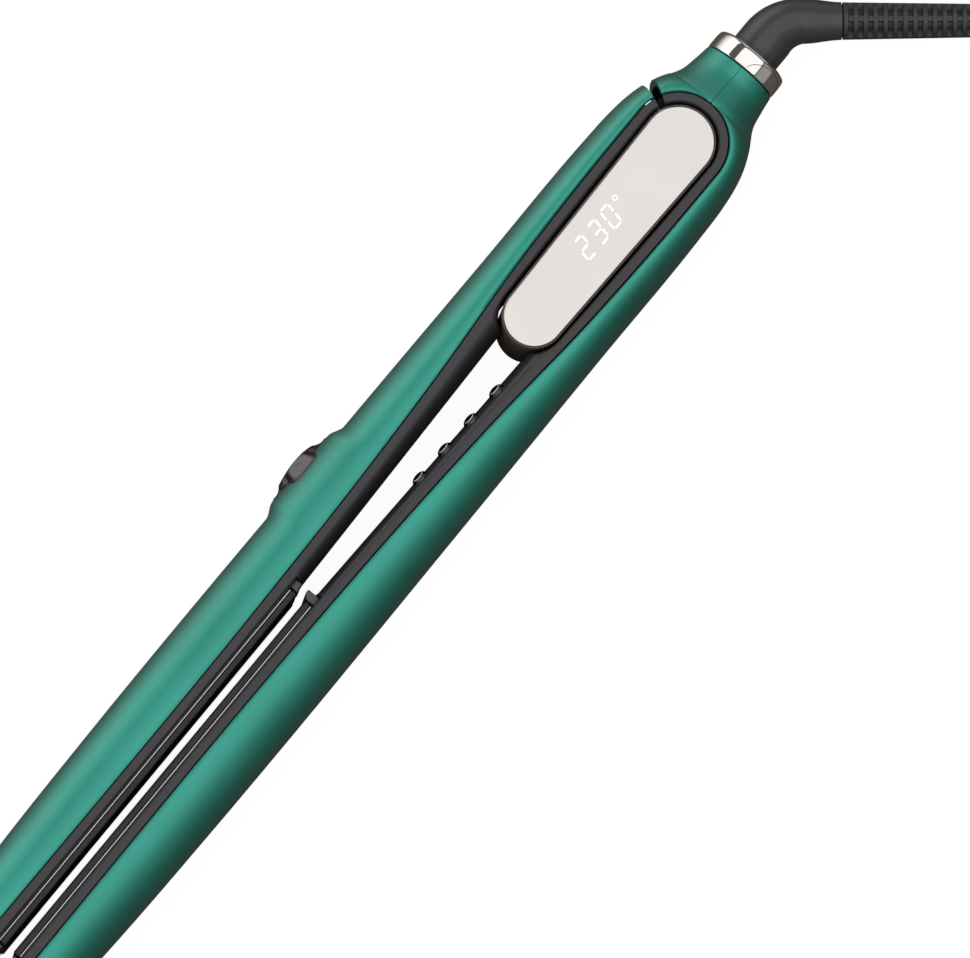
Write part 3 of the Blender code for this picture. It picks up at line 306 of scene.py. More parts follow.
def moulded(name, colour, roughness, grain_mm, depth_mm, spread=0.06, metallic=0.0, coat=0.0):
    """A moulded or cast finish: noise at the grain's size moves colour, gloss and height a little."""
    look, tree, place = new_material(name)
    grain = add(tree, "TexNoise", {"Vector": place, "Scale": 1 / (grain_mm * MM), "Detail": 4.0}).outputs[0]
    cloud = add(tree, "TexNoise", {"Vector": place, "Scale": 1 / 0.018, "Detail": 2.0}).outputs["Fac"]
    base = hex_colour(colour)
    tone = add(tree, "ValToRGB", {"Fac": cloud})
    tone.color_ramp.elements[0].color = (*[c * (1 - spread) for c in base[:3]], 1)
    tone.color_ramp.elements[1].color = (*[c * (1 + spread) for c in base[:3]], 1)
    gloss = add(tree, "MapRange", {"Value": grain, "To Min": roughness - 0.05, "To Max": roughness + 0.05})
    bump = add(tree, "Bump", {"Height": grain, "Distance": depth_mm * MM, "Strength": 0.6})
    shader = add(tree, "BsdfPrincipled", {
        "Base Color": tone.outputs[0], "Roughness": gloss.outputs[0], "Normal": bump.outputs[0],
        "Metallic": metallic, "Coat Weight": coat, "Coat Roughness": 0.2,
    })
    show(tree, shader.outputs[0])
    return look


# PVC-and-rubber sheath: matt black, with an even grain a third of a millimetre across.
sheath = moulded("extruded rubber sheath", "2B2B2D", 0.52, 0.35, 0.02)
line = cord_line()
lead = surface("mains_lead", tube_grid(line, CORD_R, 16), sheath, "cord_lead")
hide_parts("cord", "cord_coil", "cord_end")

# Coil tie: 9 mm hook-and-loop strap, wrapped once round the turns and pressed onto itself.
TIE_HALF, TIE_WALL, TIE_ANGLE, TIE_POWER = 4.5, 1.1, np.radians(105.0), 7
COIL_TOP = 12.1


def tie_grid():
    """A rounded rectangle of power 7 round the coil's section, carried over the strap's width."""
    reach, top = COIL_BAND + TIE_WALL / 2, COIL_TOP + TIE_WALL / 2
    a = np.linspace(0.0, 2 * np.pi, 72, endpoint=False)
    across = reach * np.sign(np.cos(a)) * np.abs(np.cos(a)) ** (2 / TIE_POWER)
    up = 6.5 + (top - 6.0) * np.sign(np.sin(a)) * np.abs(np.sin(a)) ** (2 / TIE_POWER)
    middle = np.array((across, np.maximum(up, TIE_WALL / 2 + 0.02))).T
    outward = np.array((np.cos(a), np.sin(a))).T * TIE_WALL / 2
    rows = []
    for lane, lift in (
        (-1, 0.25), (-0.9, 0.5), (0.9, 0.5), (1, 0.25), (1, -0.25), (0.9, -0.5), (-0.9, -0.5), (-1, -0.25),
    ):
        ring = middle + outward * lift * 2
        phi = TIE_ANGLE + lane * TIE_HALF / COIL_MIDDLE
        r = COIL_MIDDLE + ring[:, 0]
        z = np.maximum(ring[:, 1], 0.02)
        rows.append(np.column_stack([COIL[0] + r * np.cos(phi), COIL[1] + r * np.sin(phi), z]))
    return np.array(rows)


webbing, tree, place = new_material("woven nylon hook-and-loop tape")
# loops about 0.4 mm apart catch the light as a soft fuzz over flat black
pile = add(tree, "TexVoronoi", {"Vector": place, "Scale": 1 / 0.0004}).outputs["Distance"]
fuzz = add(tree, "ValToRGB", {"Fac": pile})
fuzz.color_ramp.elements[0].color = hex_colour("2C2C2E")
fuzz.color_ramp.elements[1].color = hex_colour("121213")
bump = add(tree, "Bump", {"Height": pile, "Distance": 0.0002, "Strength": 0.8}, invert=True)
shader = add(tree, "BsdfPrincipled", {
    "Base Color": fuzz.outputs[0], "Roughness": 0.9, "Normal": bump.outputs[0], "Sheen Weight": 0.3,
})
show(tree, shader.outputs[0])
tie = surface("coil_strap", tie_grid(), webbing, "cord_lead", loop=True)
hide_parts("coil_tie")

# Plug: moulded two-pin body with a ribbed boot round the lead and a finger waist.
PLUG_START = (-165.1, -3.5)
PLUG_MIDDLE_Z = 19.2
PLUG_STATIONS = (
    (0.0, 3.6, 3.4, 15.75), (4.0, 3.9, 3.7, 15.9), (12.0, 4.6, 4.4, 16.8), (13.2, 5.4, 5.2, 18.2),
    (14.6, 8.4, 6.5, 19.2), (20.0, 13.6, 6.8, 19.2), (30.0, 15.0, 6.6, 19.2), (40.0, 16.8, 6.7, 19.2),
    (46.4, 17.6, 6.8, 19.2), (47.6, 17.2, 6.5, 19.2), (48.0, 16.4, 5.9, 19.2),
)


def plug_grid():
    """Superellipse sections of power 3.5, with width, height and level interpolated along the plug."""
    table = np.array(PLUG_STATIONS)
    along = np.unique(np.concatenate([np.linspace(0, 48, 90), table[:, 0]]))
    width, height, level = (curve(table[:, (0, k)], along) for k in (1, 2, 3))
    rib = np.where(along < 11.5, 0.35 * (np.sin(along * 2 * np.pi / 2.0) > 0), 0.0)
    a = np.linspace(0, 2 * np.pi, 48, endpoint=False)
    c, s = np.cos(a), np.sin(a)
    power = 2 / 3.5
    y = (width - rib)[:, None] * np.sign(c) * np.abs(c) ** power
    z = (height - rib)[:, None] * np.sign(s) * np.abs(s) ** power
    x = np.broadcast_to(along[:, None], y.shape)
    return np.stack([PLUG_START[0] + x, PLUG_START[1] + y, level[:, None] + z], axis=-1)


# Soft black PVC with a blurred shine.
plug_rubber = moulded("moulded soft PVC", "232325", 0.5, 0.5, 0.03)
plug = surface("mains_plug", plug_grid(), plug_rubber, "cord_lead")
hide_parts("plug_body")


def turned(profile, start, direction, count=64):
    """start + s direction + r (cos a side + sin a up), for a profile of (s, r) pairs."""
    profile = np.array(profile, float)
    along = np.array(direction, float) / np.linalg.norm(direction)
    side = np.cross([0.0, 0.0, 1.0], along)
    side = side / np.linalg.norm(side) if np.linalg.norm(side) > 0.01 else np.array([0.0, 1.0, 0.0])
    up = np.cross(along, side)
    a = np.linspace(0.0, 2 * np.pi, count, endpoint=False)
    ring = np.cos(a)[:, None] * side + np.sin(a)[:, None] * up
    return np.array(start, float) + profile[:, 0, None, None] * along + profile[:, 1, None, None] * ring


def metal(name, colours, gloss_range, size_mm, detail, stretch=(1, 1, 1), metallic=1.0, share=(0, 1),
          bump_mm=0):
    """A bright finish: noise of one size, stretched along the work, moves the colour between the two given,
    where its value is within share, and the gloss over its range; bump_mm adds waves of that height."""
    look, tree, place = new_material(name)
    grid = add(tree, "Mapping", {"Vector": place, "Scale": stretch}).outputs[0]
    lines = add(tree, "TexNoise", {"Vector": grid, "Scale": 1 / (size_mm * MM), "Detail": detail}).outputs[0]
    tone = add(tree, "ValToRGB", {"Fac": lines})
    for stop, code, position in zip(tone.color_ramp.elements, colours, share):
        stop.position, stop.color = position, hex_colour(code)
    gloss = add(tree, "MapRange", {"Value": lines, "To Min": gloss_range[0], "To Max": gloss_range[1]})
    finish = {"Base Color": tone.outputs[0], "Metallic": metallic, "Roughness": gloss.outputs[0]}
    if bump_mm:
        bump = add(tree, "Bump", {"Height": lines, "Distance": bump_mm * MM, "Strength": 0.25})
        finish["Normal"] = bump.outputs[0]
    show(tree, add(tree, "BsdfPrincipled", finish).outputs[0])
    return look


# Plated rod: bright and pale, with faint marks that vary its gloss.
brass = metal("nickel-plated brass", ("D8D2C4", "D8D2C4"), (0.16, 0.3), 0.6, 3.0)
for number, side in ((1, -9.3), (2, 9.3)):
    profile = ((0.0, 2.0), (17.2, 2.0), (18.0, 1.85), (18.6, 1.5), (19.0, 1.0))
    start = (PLUG_START[0] + 48.3, PLUG_START[1] + side, PLUG_MIDDLE_Z)
    rod = turned(profile, start, (1, 0, 0), 32)
    pin = surface(f"plug_pin_{number}_rod", rod, brass, "cord_lead")
    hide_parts(f"plug_pin_{number}")

# ---- Strain relief: soft rubber sleeve over-moulded on the lead, cut into rings that a spine joins.
# The slots between the rings let it bend; the spine and two side bars hold them at their pitch.
ELBOW_CORNER = np.array((-40.8, 0.0, AXIS_Z))
BEND_ANGLE, BEND_R = np.radians(50.0), 11.0
LEAD_WAY = np.array((-np.cos(BEND_ANGLE), np.sin(BEND_ANGLE), 0.0))
RELIEF_START, RELIEF_LENGTH = 14.7, 34.0
RELIEF_R, RIB_PITCH, RIB_WIDTH, SLOT_DEPTH = 4.55, 2.4, 1.3, 1.5


def relief_grid():
    """Radius is the ring's where a ring or a bar is, and SLOT_DEPTH less in the slots, with 0.1 mm flanks."""
    s = np.linspace(0.0, RELIEF_LENGTH, 420)
    a = np.linspace(0.0, 2 * np.pi, 120, endpoint=False)
    outer = RELIEF_R - 0.5 * s / RELIEF_LENGTH
    phase = s % RIB_PITCH
    ring = ramp(phase, 0.0, 0.12) * (1 - ramp(phase, RIB_WIDTH - 0.12, RIB_WIDTH))
    ring = np.maximum(ring, 1 - ramp(s, 0.0, 1.2) + ramp(s, RELIEF_LENGTH - 1.6, RELIEF_LENGTH - 1.4))
    spine, side_bar = (np.abs((np.degrees(a) - middle + 90) % 180 - 90) for middle in (90.0, 0.0))
    bar = np.maximum(0.72 * (1 - ramp(spine, 10.0, 13.0)), 1 - ramp(side_bar, 22.0, 26.0))
    solid = np.maximum(np.clip(ring, 0, 1)[:, None], bar[None, :])
    radius = outer[:, None] - SLOT_DEPTH * (1 - solid)
    radius[0] = radius[0] - 0.35
    radius[-1] = CORD_R + 0.45
    start = ELBOW_CORNER + LEAD_WAY * RELIEF_START
    path = start + s[:, None] * LEAD_WAY
    return tube_grid(path, radius, 120)


# Dark grey rubber, a little shinier than the lead so that each ring shows its edge.
relief_rubber = moulded("moulded ribbed rubber", "39393C", 0.42, 0.4, 0.02)
relief = surface("ribbed_relief", relief_grid(), relief_rubber, "cord_lead", sharp=50)
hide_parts("strain_relief")

# Swivel elbow: satin nylon, moulded in one piece with the journal that turns in the neck's socket.
ELBOW_R, JOURNAL_R = 6.4, 5.0


def elbow_grid(count=72, steps=36):
    """Circles along a path: straight from the journal, then an arc of BEND_R, then straight again. The
    radius narrows along the arc, and each circle is square to the path's own heading."""
    straight = (
        (-14.1, 6.2), (-14.3, 6.5), (-15.6, 6.5), (-15.6, JOURNAL_R), (-28.75, JOURNAL_R), (-28.75, 6.3),
        (-28.9, 6.62), (-30.6, 6.62), (-30.75, 6.5), (-30.8, ELBOW_R - 0.06), (-31.1, ELBOW_R),
    )
    tangent = BEND_R * np.tan(BEND_ANGLE / 2)
    start = np.array((ELBOW_CORNER[0] + tangent, BEND_R, AXIS_Z))
    a = np.linspace(0.0, BEND_ANGLE, steps)
    arc = start + BEND_R * np.column_stack([-np.sin(a), -np.cos(a), np.zeros(steps)])
    run = np.linspace(0.0, 1.0, 10)[1:, None]
    tail = arc[-1] + (ELBOW_CORNER + LEAD_WAY * (RELIEF_START - 0.3) - arc[-1]) * run
    path = np.concatenate([[(x, 0.0, AXIS_Z) for x, _ in straight], arc, tail])
    narrowing = ELBOW_R - 0.9 * np.linspace(0, 1, steps)
    last = narrowing[-1] + (RELIEF_R + 0.05 - narrowing[-1]) * ramp(run[:, 0], 0.0, 1.0)
    radius = np.concatenate([[r for _, r in straight], narrowing, last])[:, None, None]
    heading = np.concatenate([np.zeros(len(straight)), a, np.full(len(tail), BEND_ANGLE)])
    side = np.column_stack([-np.sin(heading), -np.cos(heading), np.zeros(len(path))])
    turn = np.linspace(0.0, 2 * np.pi, count, endpoint=False)[None, :, None]
    return path[:, None] + radius * (np.cos(turn) * side[:, None] + np.sin(turn) * np.array((0, 0, 1.0)))


# Smooth satin grey with a soft broad highlight.
elbow_nylon = moulded("moulded satin nylon", "3D3D41", 0.36, 0.6, 0.012, coat=0.15)
elbow = surface("swivel_elbow", elbow_grid(), elbow_nylon, "cord_lead")
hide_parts("cord_elbow")

# ---- Lock collar: brass ring, chromed and polished, that slides on the socket to lock the arms.
# A shallow engraved outline marks its lock side.
COLLAR_START, COLLAR_R = -24.6, 9.8
collar_profile = (
    (0.0, 8.45), (0.0, 9.4), (0.08, 9.58), (0.25, 9.72), (0.45, 9.78), (0.8, COLLAR_R), (2.6, COLLAR_R),
    (3.9, 9.74), (4.6, 9.6), (4.95, 9.35), (5.2, 8.85), (5.34, 8.5), (5.4, 8.1), (5.4, 7.0), (5.32, 6.87),
    (5.2, 6.85), (4.3, 6.85), (4.3, 8.45),
)
# Near-perfect mirror with the faintest polishing waves.
chrome = metal("polished chrome plate", ("EDEBE8", "EDEBE8"), (0.05, 0.11), 4.0, 2.0, bump_mm=0.04)
ring = surface("chrome_collar", turned(collar_profile, (COLLAR_START, 0, AXIS_Z), (-1, 0, 0), 128), chrome,
               "collar", loop=True, sharp=40)
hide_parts("lock_collar")


def collar_mark_line():
    """Half an ellipse on the ring, from its front edge: 4 mm towards the elbow and 12.6 mm round."""
    t = np.linspace(0.04, np.pi - 0.04, 60)
    turn = (7.2 - 6.3 * np.cos(t)) / COLLAR_R
    x = COLLAR_START - 4.0 * np.sin(t)
    r = np.interp(-(x - COLLAR_START), (0, 0.8, 2.6, 3.9, 4.6), (9.6, 9.8, 9.8, 9.74, 9.6)) - 0.03
    return np.column_stack([x, r * np.sin(turn), AXIS_Z + r * np.cos(turn)])


# Dull dark fill, so that the thin line reads on the bright ring.
engraving = moulded("dark filled engraving", "3C3733", 0.5, 0.3, 0.01)
surface("collar_outline", tube_grid(collar_mark_line(), 0.09, 8), engraving, "collar")

# ---- Green shells: injection-moulded ABS, sprayed with a fine metallic lacquer and a satin clear coat.
# Lower shell and tail cap meet along the neck; the upper shell ends in a slanted face at the split.
HALF_DEPTH = 14.5
TIP_X, NOSE_START, NOSE_LENGTH = 267.0, 252.0, 16.0
SEAM_R, SEAM_GAP = 12.0, 0.17
NECK_SPLIT = 0.05
ARM_END_ANGLE, NECK_FACE_ANGLE = 21.0, 31.0
OUTER_WALL, NECK_WALL = 1.8, 1.15
OUTLINE = (
    (-24.3, 9.8), (-20.5, 10.35), (-16.0, 11.3), (-11.0, 14.1), (-6.0, 16.2), (-1.3, 17.3),
    (3.6, 17.9), (13.0, 18.3), (50.0, 18.45), (100.0, 18.8), (200.0, 18.9), (228.0, 18.4),
    (252.0, 17.5),
)
SEAM = ((0.0, 12.0), (20.0, 11.9), (49.0, 10.95), (80.0, 8.75), (110.0, 7.35), (150.0, 6.4), (267.0, 6.3))
NECK_HEIGHT = ((-24.3, 9.8), (-20.5, 10.35), (-16.5, 12.3), (-13.4, 14.1), (-12.17, 14.5))
MOUND_X, MOUND_RISE, MOUND_TOP_HALF, MOUND_HALF = 118.0, 1.55, 10.3, 14.6
EDGE, NECK_EDGE = 0.34, 0.06  # rounding of the lacquered edges beside the groove and the neck parting


def nose(x):
    """sqrt(1 - t^2): a quarter ellipse over the last 16 mm of the arm."""
    t = np.clip((np.asarray(x, float) - NOSE_START) / NOSE_LENGTH, 0.0, 0.9985)
    return np.sqrt(1 - t * t)


def seam_y(x):
    """Distance of the seam from the middle plane: a circle round the hinge, then a drawn curve."""
    x = np.asarray(x, float)
    return np.where(x < 0, np.sqrt(np.maximum(SEAM_R**2 - x * x, 0.0)), curve(SEAM, x))


def outer_y(x, mound):
    """Distance of the silhouette from the middle plane; the upper arm has a mound under its button."""
    y = curve(OUTLINE, x)
    if mound:
        y = y + MOUND_RISE * (1 - ramp(np.abs(x - MOUND_X), MOUND_TOP_HALF, MOUND_HALF))
    seam = seam_y(x)
    return seam + (y - seam) * nose(x)


def half_depth(x):
    """Half of the body's height: the neck's table, then 14.5 mm, rounded down to half at the tip."""
    x = np.asarray(x, float)
    return np.where(x < -SEAM_R - SEAM_GAP, curve(NECK_HEIGHT, x), HALF_DEPTH * (0.5 + 0.5 * nose(x)))


def reach_to_outline(x, y, turn, mound):
    """Halves the miss 40 times until a section that leans by turn meets the silhouette."""
    distance = np.full(len(x), 5.0)
    for _ in range(40):
        miss = outer_y(x - distance * np.sin(turn), mound) - (y + distance * np.cos(turn))
        distance += 0.5 * miss
    return distance


def put(across, height, x, y, turn, side):
    """Sections of (across, height) points at (x, y), leaning back by turn."""
    x, y, turn = x[:, None], y[:, None], turn[:, None]
    return np.stack([x - across * np.sin(turn), side * (y + across * np.cos(turn)), AXIS_Z + height], axis=-1)


def half_oval(reach, height, power, count):
    """across = reach |cos a|^(2/p), height |sin a|^(2/p) with sin's sign, from the top seam round."""
    a = np.linspace(np.pi / 2, -np.pi / 2, count)[None, :]
    share = (2 / power)[:, None]
    across = reach[:, None] * np.abs(np.cos(a)) ** share
    up = height[:, None] * np.sign(np.sin(a)) * np.abs(np.sin(a)) ** share
    across[:, [0, -1]] = 0.0
    return across, up


def green_grid(x, y, turn, side, mound=False):
    """A closed ring for each station: outer half oval with a small rounded land, then the inner one."""
    reach = reach_to_outline(x, y, turn, mound)
    height = half_depth(x)
    power = 2.0 + 0.25 * ramp(x, -20.0, -8.0)
    wall = NECK_WALL + (OUTER_WALL - NECK_WALL) * ramp(x, -19.0, -12.0)
    across, up = half_oval(reach, height, power, 65)
    edge = (NECK_EDGE + (EDGE - NECK_EDGE) * ramp(x, -13.0, -11.0))[:, None]
    drop = np.where(across < edge, edge * (1 - np.sqrt(np.maximum(1 - (1 - across / edge) ** 2, 0))), 0.0)
    up = up - np.sign(up) * drop
    inner_across, inner_up = half_oval(np.maximum(reach - wall, 0.4), height - wall, power, 33)
    ring_across = np.concatenate([across, inner_across[:, ::-1]], axis=1)
    ring_up = np.concatenate([up, inner_up[:, ::-1]], axis=1)
    return put(ring_across, ring_up, x, y, turn, side)


def round_seam(angles, lean):
    """Stations on the seam's circle: x = -R sin a, y = R cos a, leaning by lean of each angle."""
    a = np.radians(angles)
    radius = SEAM_R + SEAM_GAP
    return -radius * np.sin(a), np.maximum(radius * np.cos(a), NECK_SPLIT), np.radians(lean(angles))


def stations(*groups):
    """Joins station groups of (x, y, turn) arrays end to end."""
    return [np.concatenate(parts) for parts in zip(*groups)]


def cutter(name, grid):
    """A closed guide mesh that a Boolean takes away and that never shows."""
    made = bpy.data.objects.new(name, closed_mesh(name, grid))
    bpy.context.collection.objects.link(made)
    return made


def block_grid(low, high):
    """The four corners of a box's end, at its two ends along X."""
    ys = (low[1], high[1], high[1], low[1])
    zs = (low[2], low[2], high[2], high[2])
    return np.array([[(x, y, z) for y, z in zip(ys, zs)] for x in (low[0], high[0])], float)


def take_away(piece, guides):
    """Applies an exact Boolean difference for each guide, then removes it."""
    for guide in guides:
        modifier = piece.modifiers.new("cut", "BOOLEAN")
        modifier.operation, modifier.object, modifier.solver = "DIFFERENCE", guide, "EXACT"
    result = bpy.data.meshes.new_from_object(piece.evaluated_get(bpy.context.evaluated_depsgraph_get()))
    piece.modifiers.clear()
    old, piece.data = piece.data, result
    bpy.data.meshes.remove(old)
    piece.data.shade_smooth()
    piece.data.set_sharp_from_angle(angle=np.radians(35.0))
    for guide in guides:
        bpy.data.objects.remove(guide)


neck_x = np.linspace(-24.3, -12.6, 26)
neck = (neck_x, np.full(26, NECK_SPLIT), np.zeros(26))
arm_x = np.concatenate([
    np.arange(1.0, 102.0, 1.5), np.arange(102.5, 134.0, 0.4), np.arange(135.0, 250.0, 1.5),
    NOSE_START + NOSE_LENGTH * np.sin(np.linspace(0, 1.22, 30)),
])
arm_x = np.append(arm_x[arm_x < TIP_X], TIP_X)
arm = (arm_x, seam_y(arm_x) + SEAM_GAP, np.zeros(len(arm_x)))

lacquer, tree, place = new_material("satin metallic lacquer on ABS")
# aluminium flake about 0.2 mm across under a satin clear coat; at a slant the colour is mixed to a darker,
# browner green, a painted shade towards the silhouette
flake = add(tree, "TexVoronoi", {"Vector": place, "Scale": 1 / 0.00022})
tint = add(tree, "SeparateColor", {"Color": flake.outputs["Color"]}).outputs[0]
cloud = add(tree, "TexNoise", {"Vector": place, "Scale": 1 / 0.03, "Detail": 2.0}).outputs["Fac"]
mixed = add(tree, "Math", {0: tint, 1: 0.35}, operation="MULTIPLY").outputs[0]
tone = add(tree, "Math", {0: cloud, 1: mixed}, operation="ADD").outputs[0]
green = add(tree, "ValToRGB", {"Fac": tone})
green.color_ramp.elements[0].position = 0.2
green.color_ramp.elements[0].color = hex_colour("1EA08D")
green.color_ramp.elements[1].color = hex_colour("27AE9B")
# painted shade: where the surface is seen at a slant, the green is mixed towards dark brownish 356A60
facing = add(tree, "LayerWeight", {"Blend": 0.35}).outputs["Facing"]
slant_painted_shade = add(tree, "MixRGB", {"Fac": facing, "Color1": green.outputs[0], "Color2": hex_colour("356A60")})
gloss = add(tree, "MapRange", {"Value": tint, "To Min": 0.5, "To Max": 0.58})
bump = add(tree, "Bump", {"Height": tint, "Distance": 0.000006, "Strength": 0.3})
shader = add(tree, "BsdfPrincipled", {
    "Base Color": slant_painted_shade.outputs[0], "Metallic": 0.85, "Roughness": gloss.outputs[0],
    "Normal": bump.outputs[0], "Coat Weight": 1.0, "Coat Roughness": 0.42, "Coat IOR": 1.52,
})
show(tree, shader.outputs[0])

ring_part = round_seam(np.linspace(89.0, 0.0, 60), lambda a: a * 0.0)
lower_grid = green_grid(*stations(neck, ring_part, arm), 1)
lower = surface("lower_shell", lower_grid, lacquer, "lower_arm")
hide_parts("lower_outer_shell")
span = 90.0 - NECK_FACE_ANGLE
ring_part = round_seam(np.linspace(89.0, NECK_FACE_ANGLE, 44), lambda a: NECK_FACE_ANGLE * (90.0 - a) / span)
cap_grid = green_grid(*stations(neck, ring_part), -1)
cap = surface("neck_cap", cap_grid, lacquer, "lower_arm")
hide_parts("tail_cap")
ring_part = round_seam(np.linspace(ARM_END_ANGLE, 0.0, 18), lambda a: a)
upper_grid = green_grid(*stations(ring_part, arm), -1, mound=True)
upper = surface("upper_shell", upper_grid, lacquer, "upper_arm")
power_hole = turned(((0, 5.3), (14, 5.3)), (MOUND_X, -12, AXIS_Z), (0, -1, 0), 64)
take_away(upper, [cutter("power_hole", power_hole)])
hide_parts("upper_outer_shell")


def tip_face(name, outline, y, side, look, body):
    """Closes a hollow arm's end: the (across, height) outline, 1.5 mm thick, just inside the last station."""
    across, up = (np.vstack([part, part]) for part in outline)
    x = np.array((TIP_X - 1.5, TIP_X - 0.01))
    rows = put(across, up, x, np.full(2, y), np.zeros(2), side)
    return surface(name, rows, look, body)


end_seam = float(seam_y(TIP_X)) + SEAM_GAP
end_reach, end_height = float(outer_y(TIP_X, False)) - end_seam - 0.4, float(half_depth(TIP_X)) - 0.4
green_end = half_oval(np.array([end_reach]), np.array([end_height]), np.array([2.25]), 33)
for side, where in ((1, "lower"), (-1, "upper")):
    tip_face(f"{where}_tip", green_end, end_seam, side, lacquer, f"{where}_arm")

# ---- Black inner shells: glass-filled nylon, moulded with a fine spark-eroded grain.
# The lower one wraps round the display; both are pocketed for the plates.
INNER_WALL, FLAT_STRIP = 1.4, 0.9
POD_TAIL_R, POD_TIP_R, POD_LENGTH, POD_WALL = 9.0, 7.8, 55.0, 1.6
POD_FIT, POD_SWING_FIT, POD_SWING_RATE = 0.35, 0.3, 0.0035
FACE_ROOT_Y, FACE_PLATE_Y, FACE_START, FACE_END = 4.1, 2.2, 62.0, 139.0
POCKET_START, POCKET_END, POCKET_HALF, LEDGE_Y = 140.2, 256.4, 12.9, 3.3


def pod_half(x, gap):
    """Half width of the pod: a taper between its two end radii, then the tip's circle."""
    tail, tip = POD_TAIL_R + gap, POD_TIP_R + gap
    taper = tail + (tip - tail) * np.clip(x, 0.0, POD_LENGTH) / POD_LENGTH
    return np.where(x <= POD_LENGTH, taper, np.sqrt(np.maximum(tip**2 - (x - POD_LENGTH) ** 2, 0.0)))


def inner_y(x, gap):
    """Inner face: beside the pod, then a straight taper along the handle, then beside the plates."""
    share = np.clip((x - FACE_START) / (FACE_END - FACE_START), 0.0, 1.0)
    handle = np.maximum(FACE_ROOT_Y + (FACE_PLATE_Y - FACE_ROOT_Y) * share, pod_half(x, gap))
    return np.where(x >= POCKET_START - 0.2, LEDGE_Y, handle)


def channel(seam, shoulder, face, height, power, count):
    """Flat land from the seam to the shoulder, then a superellipse down to the face, mirrored below."""
    a = np.linspace(np.pi / 2, 0.0, count)[None, :]
    share = (2 / power)[:, None]
    cos = np.maximum(np.cos(a), 0.0)
    cos[:, 0] = 0.0
    across = shoulder[:, None] - (shoulder - face)[:, None] * cos**share
    up = height[:, None] * np.sin(a) ** share
    across = np.concatenate([seam[:, None], across], axis=1)
    up = np.concatenate([height[:, None], up], axis=1)
    return np.concatenate([across, across[:, -2::-1]], axis=1), np.concatenate([up, -up[:, -2::-1]], axis=1)


def black_grid(side, end_angle, gap):
    """Sections round the hinge from the end face, then along the arm, each a closed channel ring."""
    turn = np.linspace(end_angle, 0.0, 40)
    xs = np.concatenate([
        np.arange(1.0, 50.0, 1.5), np.linspace(50.0, 63.5, 64), np.arange(64.5, 139.0, 1.5),
        (139.0, 139.99, 140.0, 141.0), np.arange(143.0, 250.0, 3.0),
        NOSE_START + NOSE_LENGTH * np.sin(np.linspace(0, 1.2, 20)),
    ])
    xs = np.append(xs[xs < TIP_X], TIP_X)
    x = np.concatenate([np.zeros(len(turn)), xs])
    turn = np.radians(np.concatenate([turn, np.zeros(len(xs))]))
    seam = np.where(x <= 0, SEAM_R, seam_y(x)) - SEAM_GAP
    face = inner_y(x, gap(x))
    height = half_depth(np.maximum(x, 0.0))
    power = 3.0 + 3.0 * np.maximum(1 - ramp(x, 52.0, 64.0), ramp(x, FACE_END, POCKET_START))
    shoulder = seam - FLAT_STRIP
    back = np.minimum(np.maximum(shoulder, face + INNER_WALL + 0.1), seam - 0.05)
    across, up = channel(seam, shoulder, face, height, power, 24)
    in_across, in_up = channel(seam, back, face + INNER_WALL, height - INNER_WALL, power, 8)
    across = np.concatenate([across, in_across[:, ::-1]], axis=1)
    up = np.concatenate([up, in_up[:, ::-1]], axis=1)
    return put(across, up, x, np.zeros(len(x)), turn, side)


BUTTON_XS = (74.6, 83.9, 93.4, 102.6)
BUTTON_R, BUTTON_HEIGHT, BUTTON_TILT = 2.2, 11.0, np.radians(20.0)
PRESS = np.array((0.0, np.cos(BUTTON_TILT), -np.sin(BUTTON_TILT)))


def button_place(x):
    """Where a button's axis meets the shoulder: the section's superellipse of power 3 at its height."""
    seam = float(seam_y(x)) - SEAM_GAP - FLAT_STRIP
    share = (1 - (BUTTON_HEIGHT / HALF_DEPTH) ** 3) ** (1 / 3)
    face = float(inner_y(np.array(x), POD_FIT))
    return np.array((x, seam - (seam - face) * share, AXIS_Z + BUTTON_HEIGHT))


# Matt charcoal whose fine grain softens the highlight to a grey band.
black_nylon = moulded("moulded black nylon", "323035", 0.44, 0.45, 0.012, coat=0.1)
lower_grid = black_grid(1, 180.0 - NECK_FACE_ANGLE, lambda x: POD_FIT)
lower_black = surface("lower_liner", lower_grid, black_nylon, "lower_arm")
low, high = AXIS_Z - POCKET_HALF, AXIS_Z + POCKET_HALF
holes = [cutter("pocket", block_grid((POCKET_START, 1.0, low), (POCKET_END, 5.6, high)))]
for x in BUTTON_XS:
    profile = ((-3, BUTTON_R + 0.18), (4, BUTTON_R + 0.18))
    holes.append(cutter("hole", turned(profile, button_place(x), PRESS, 32)))
take_away(lower_black, holes)
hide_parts("lower_inner_shell")
upper_grid = black_grid(-1, ARM_END_ANGLE, lambda x: POD_SWING_FIT + POD_SWING_RATE * x)
upper_black = surface("upper_liner", upper_grid, black_nylon, "upper_arm")
take_away(upper_black, [cutter("pocket", block_grid((POCKET_START, -5.6, low), (POCKET_END, -1.0, high)))])
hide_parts("upper_inner_shell")


def lip(name, side, end_angle, near, far, last, body):
    """A flat strip at mid-height that keeps light from falling through a groove: round, then straight."""
    turn = np.radians(np.append(np.linspace(end_angle, 0.0, 40), 0.0))
    x = np.append(np.zeros(40), last)
    across = np.tile((near, far, far, near), (41, 1))
    up = np.tile((-0.5, -0.5, 0.5, 0.5), (41, 1))
    return surface(name, put(across, up, x, np.zeros(41), turn, side), black_nylon, body)


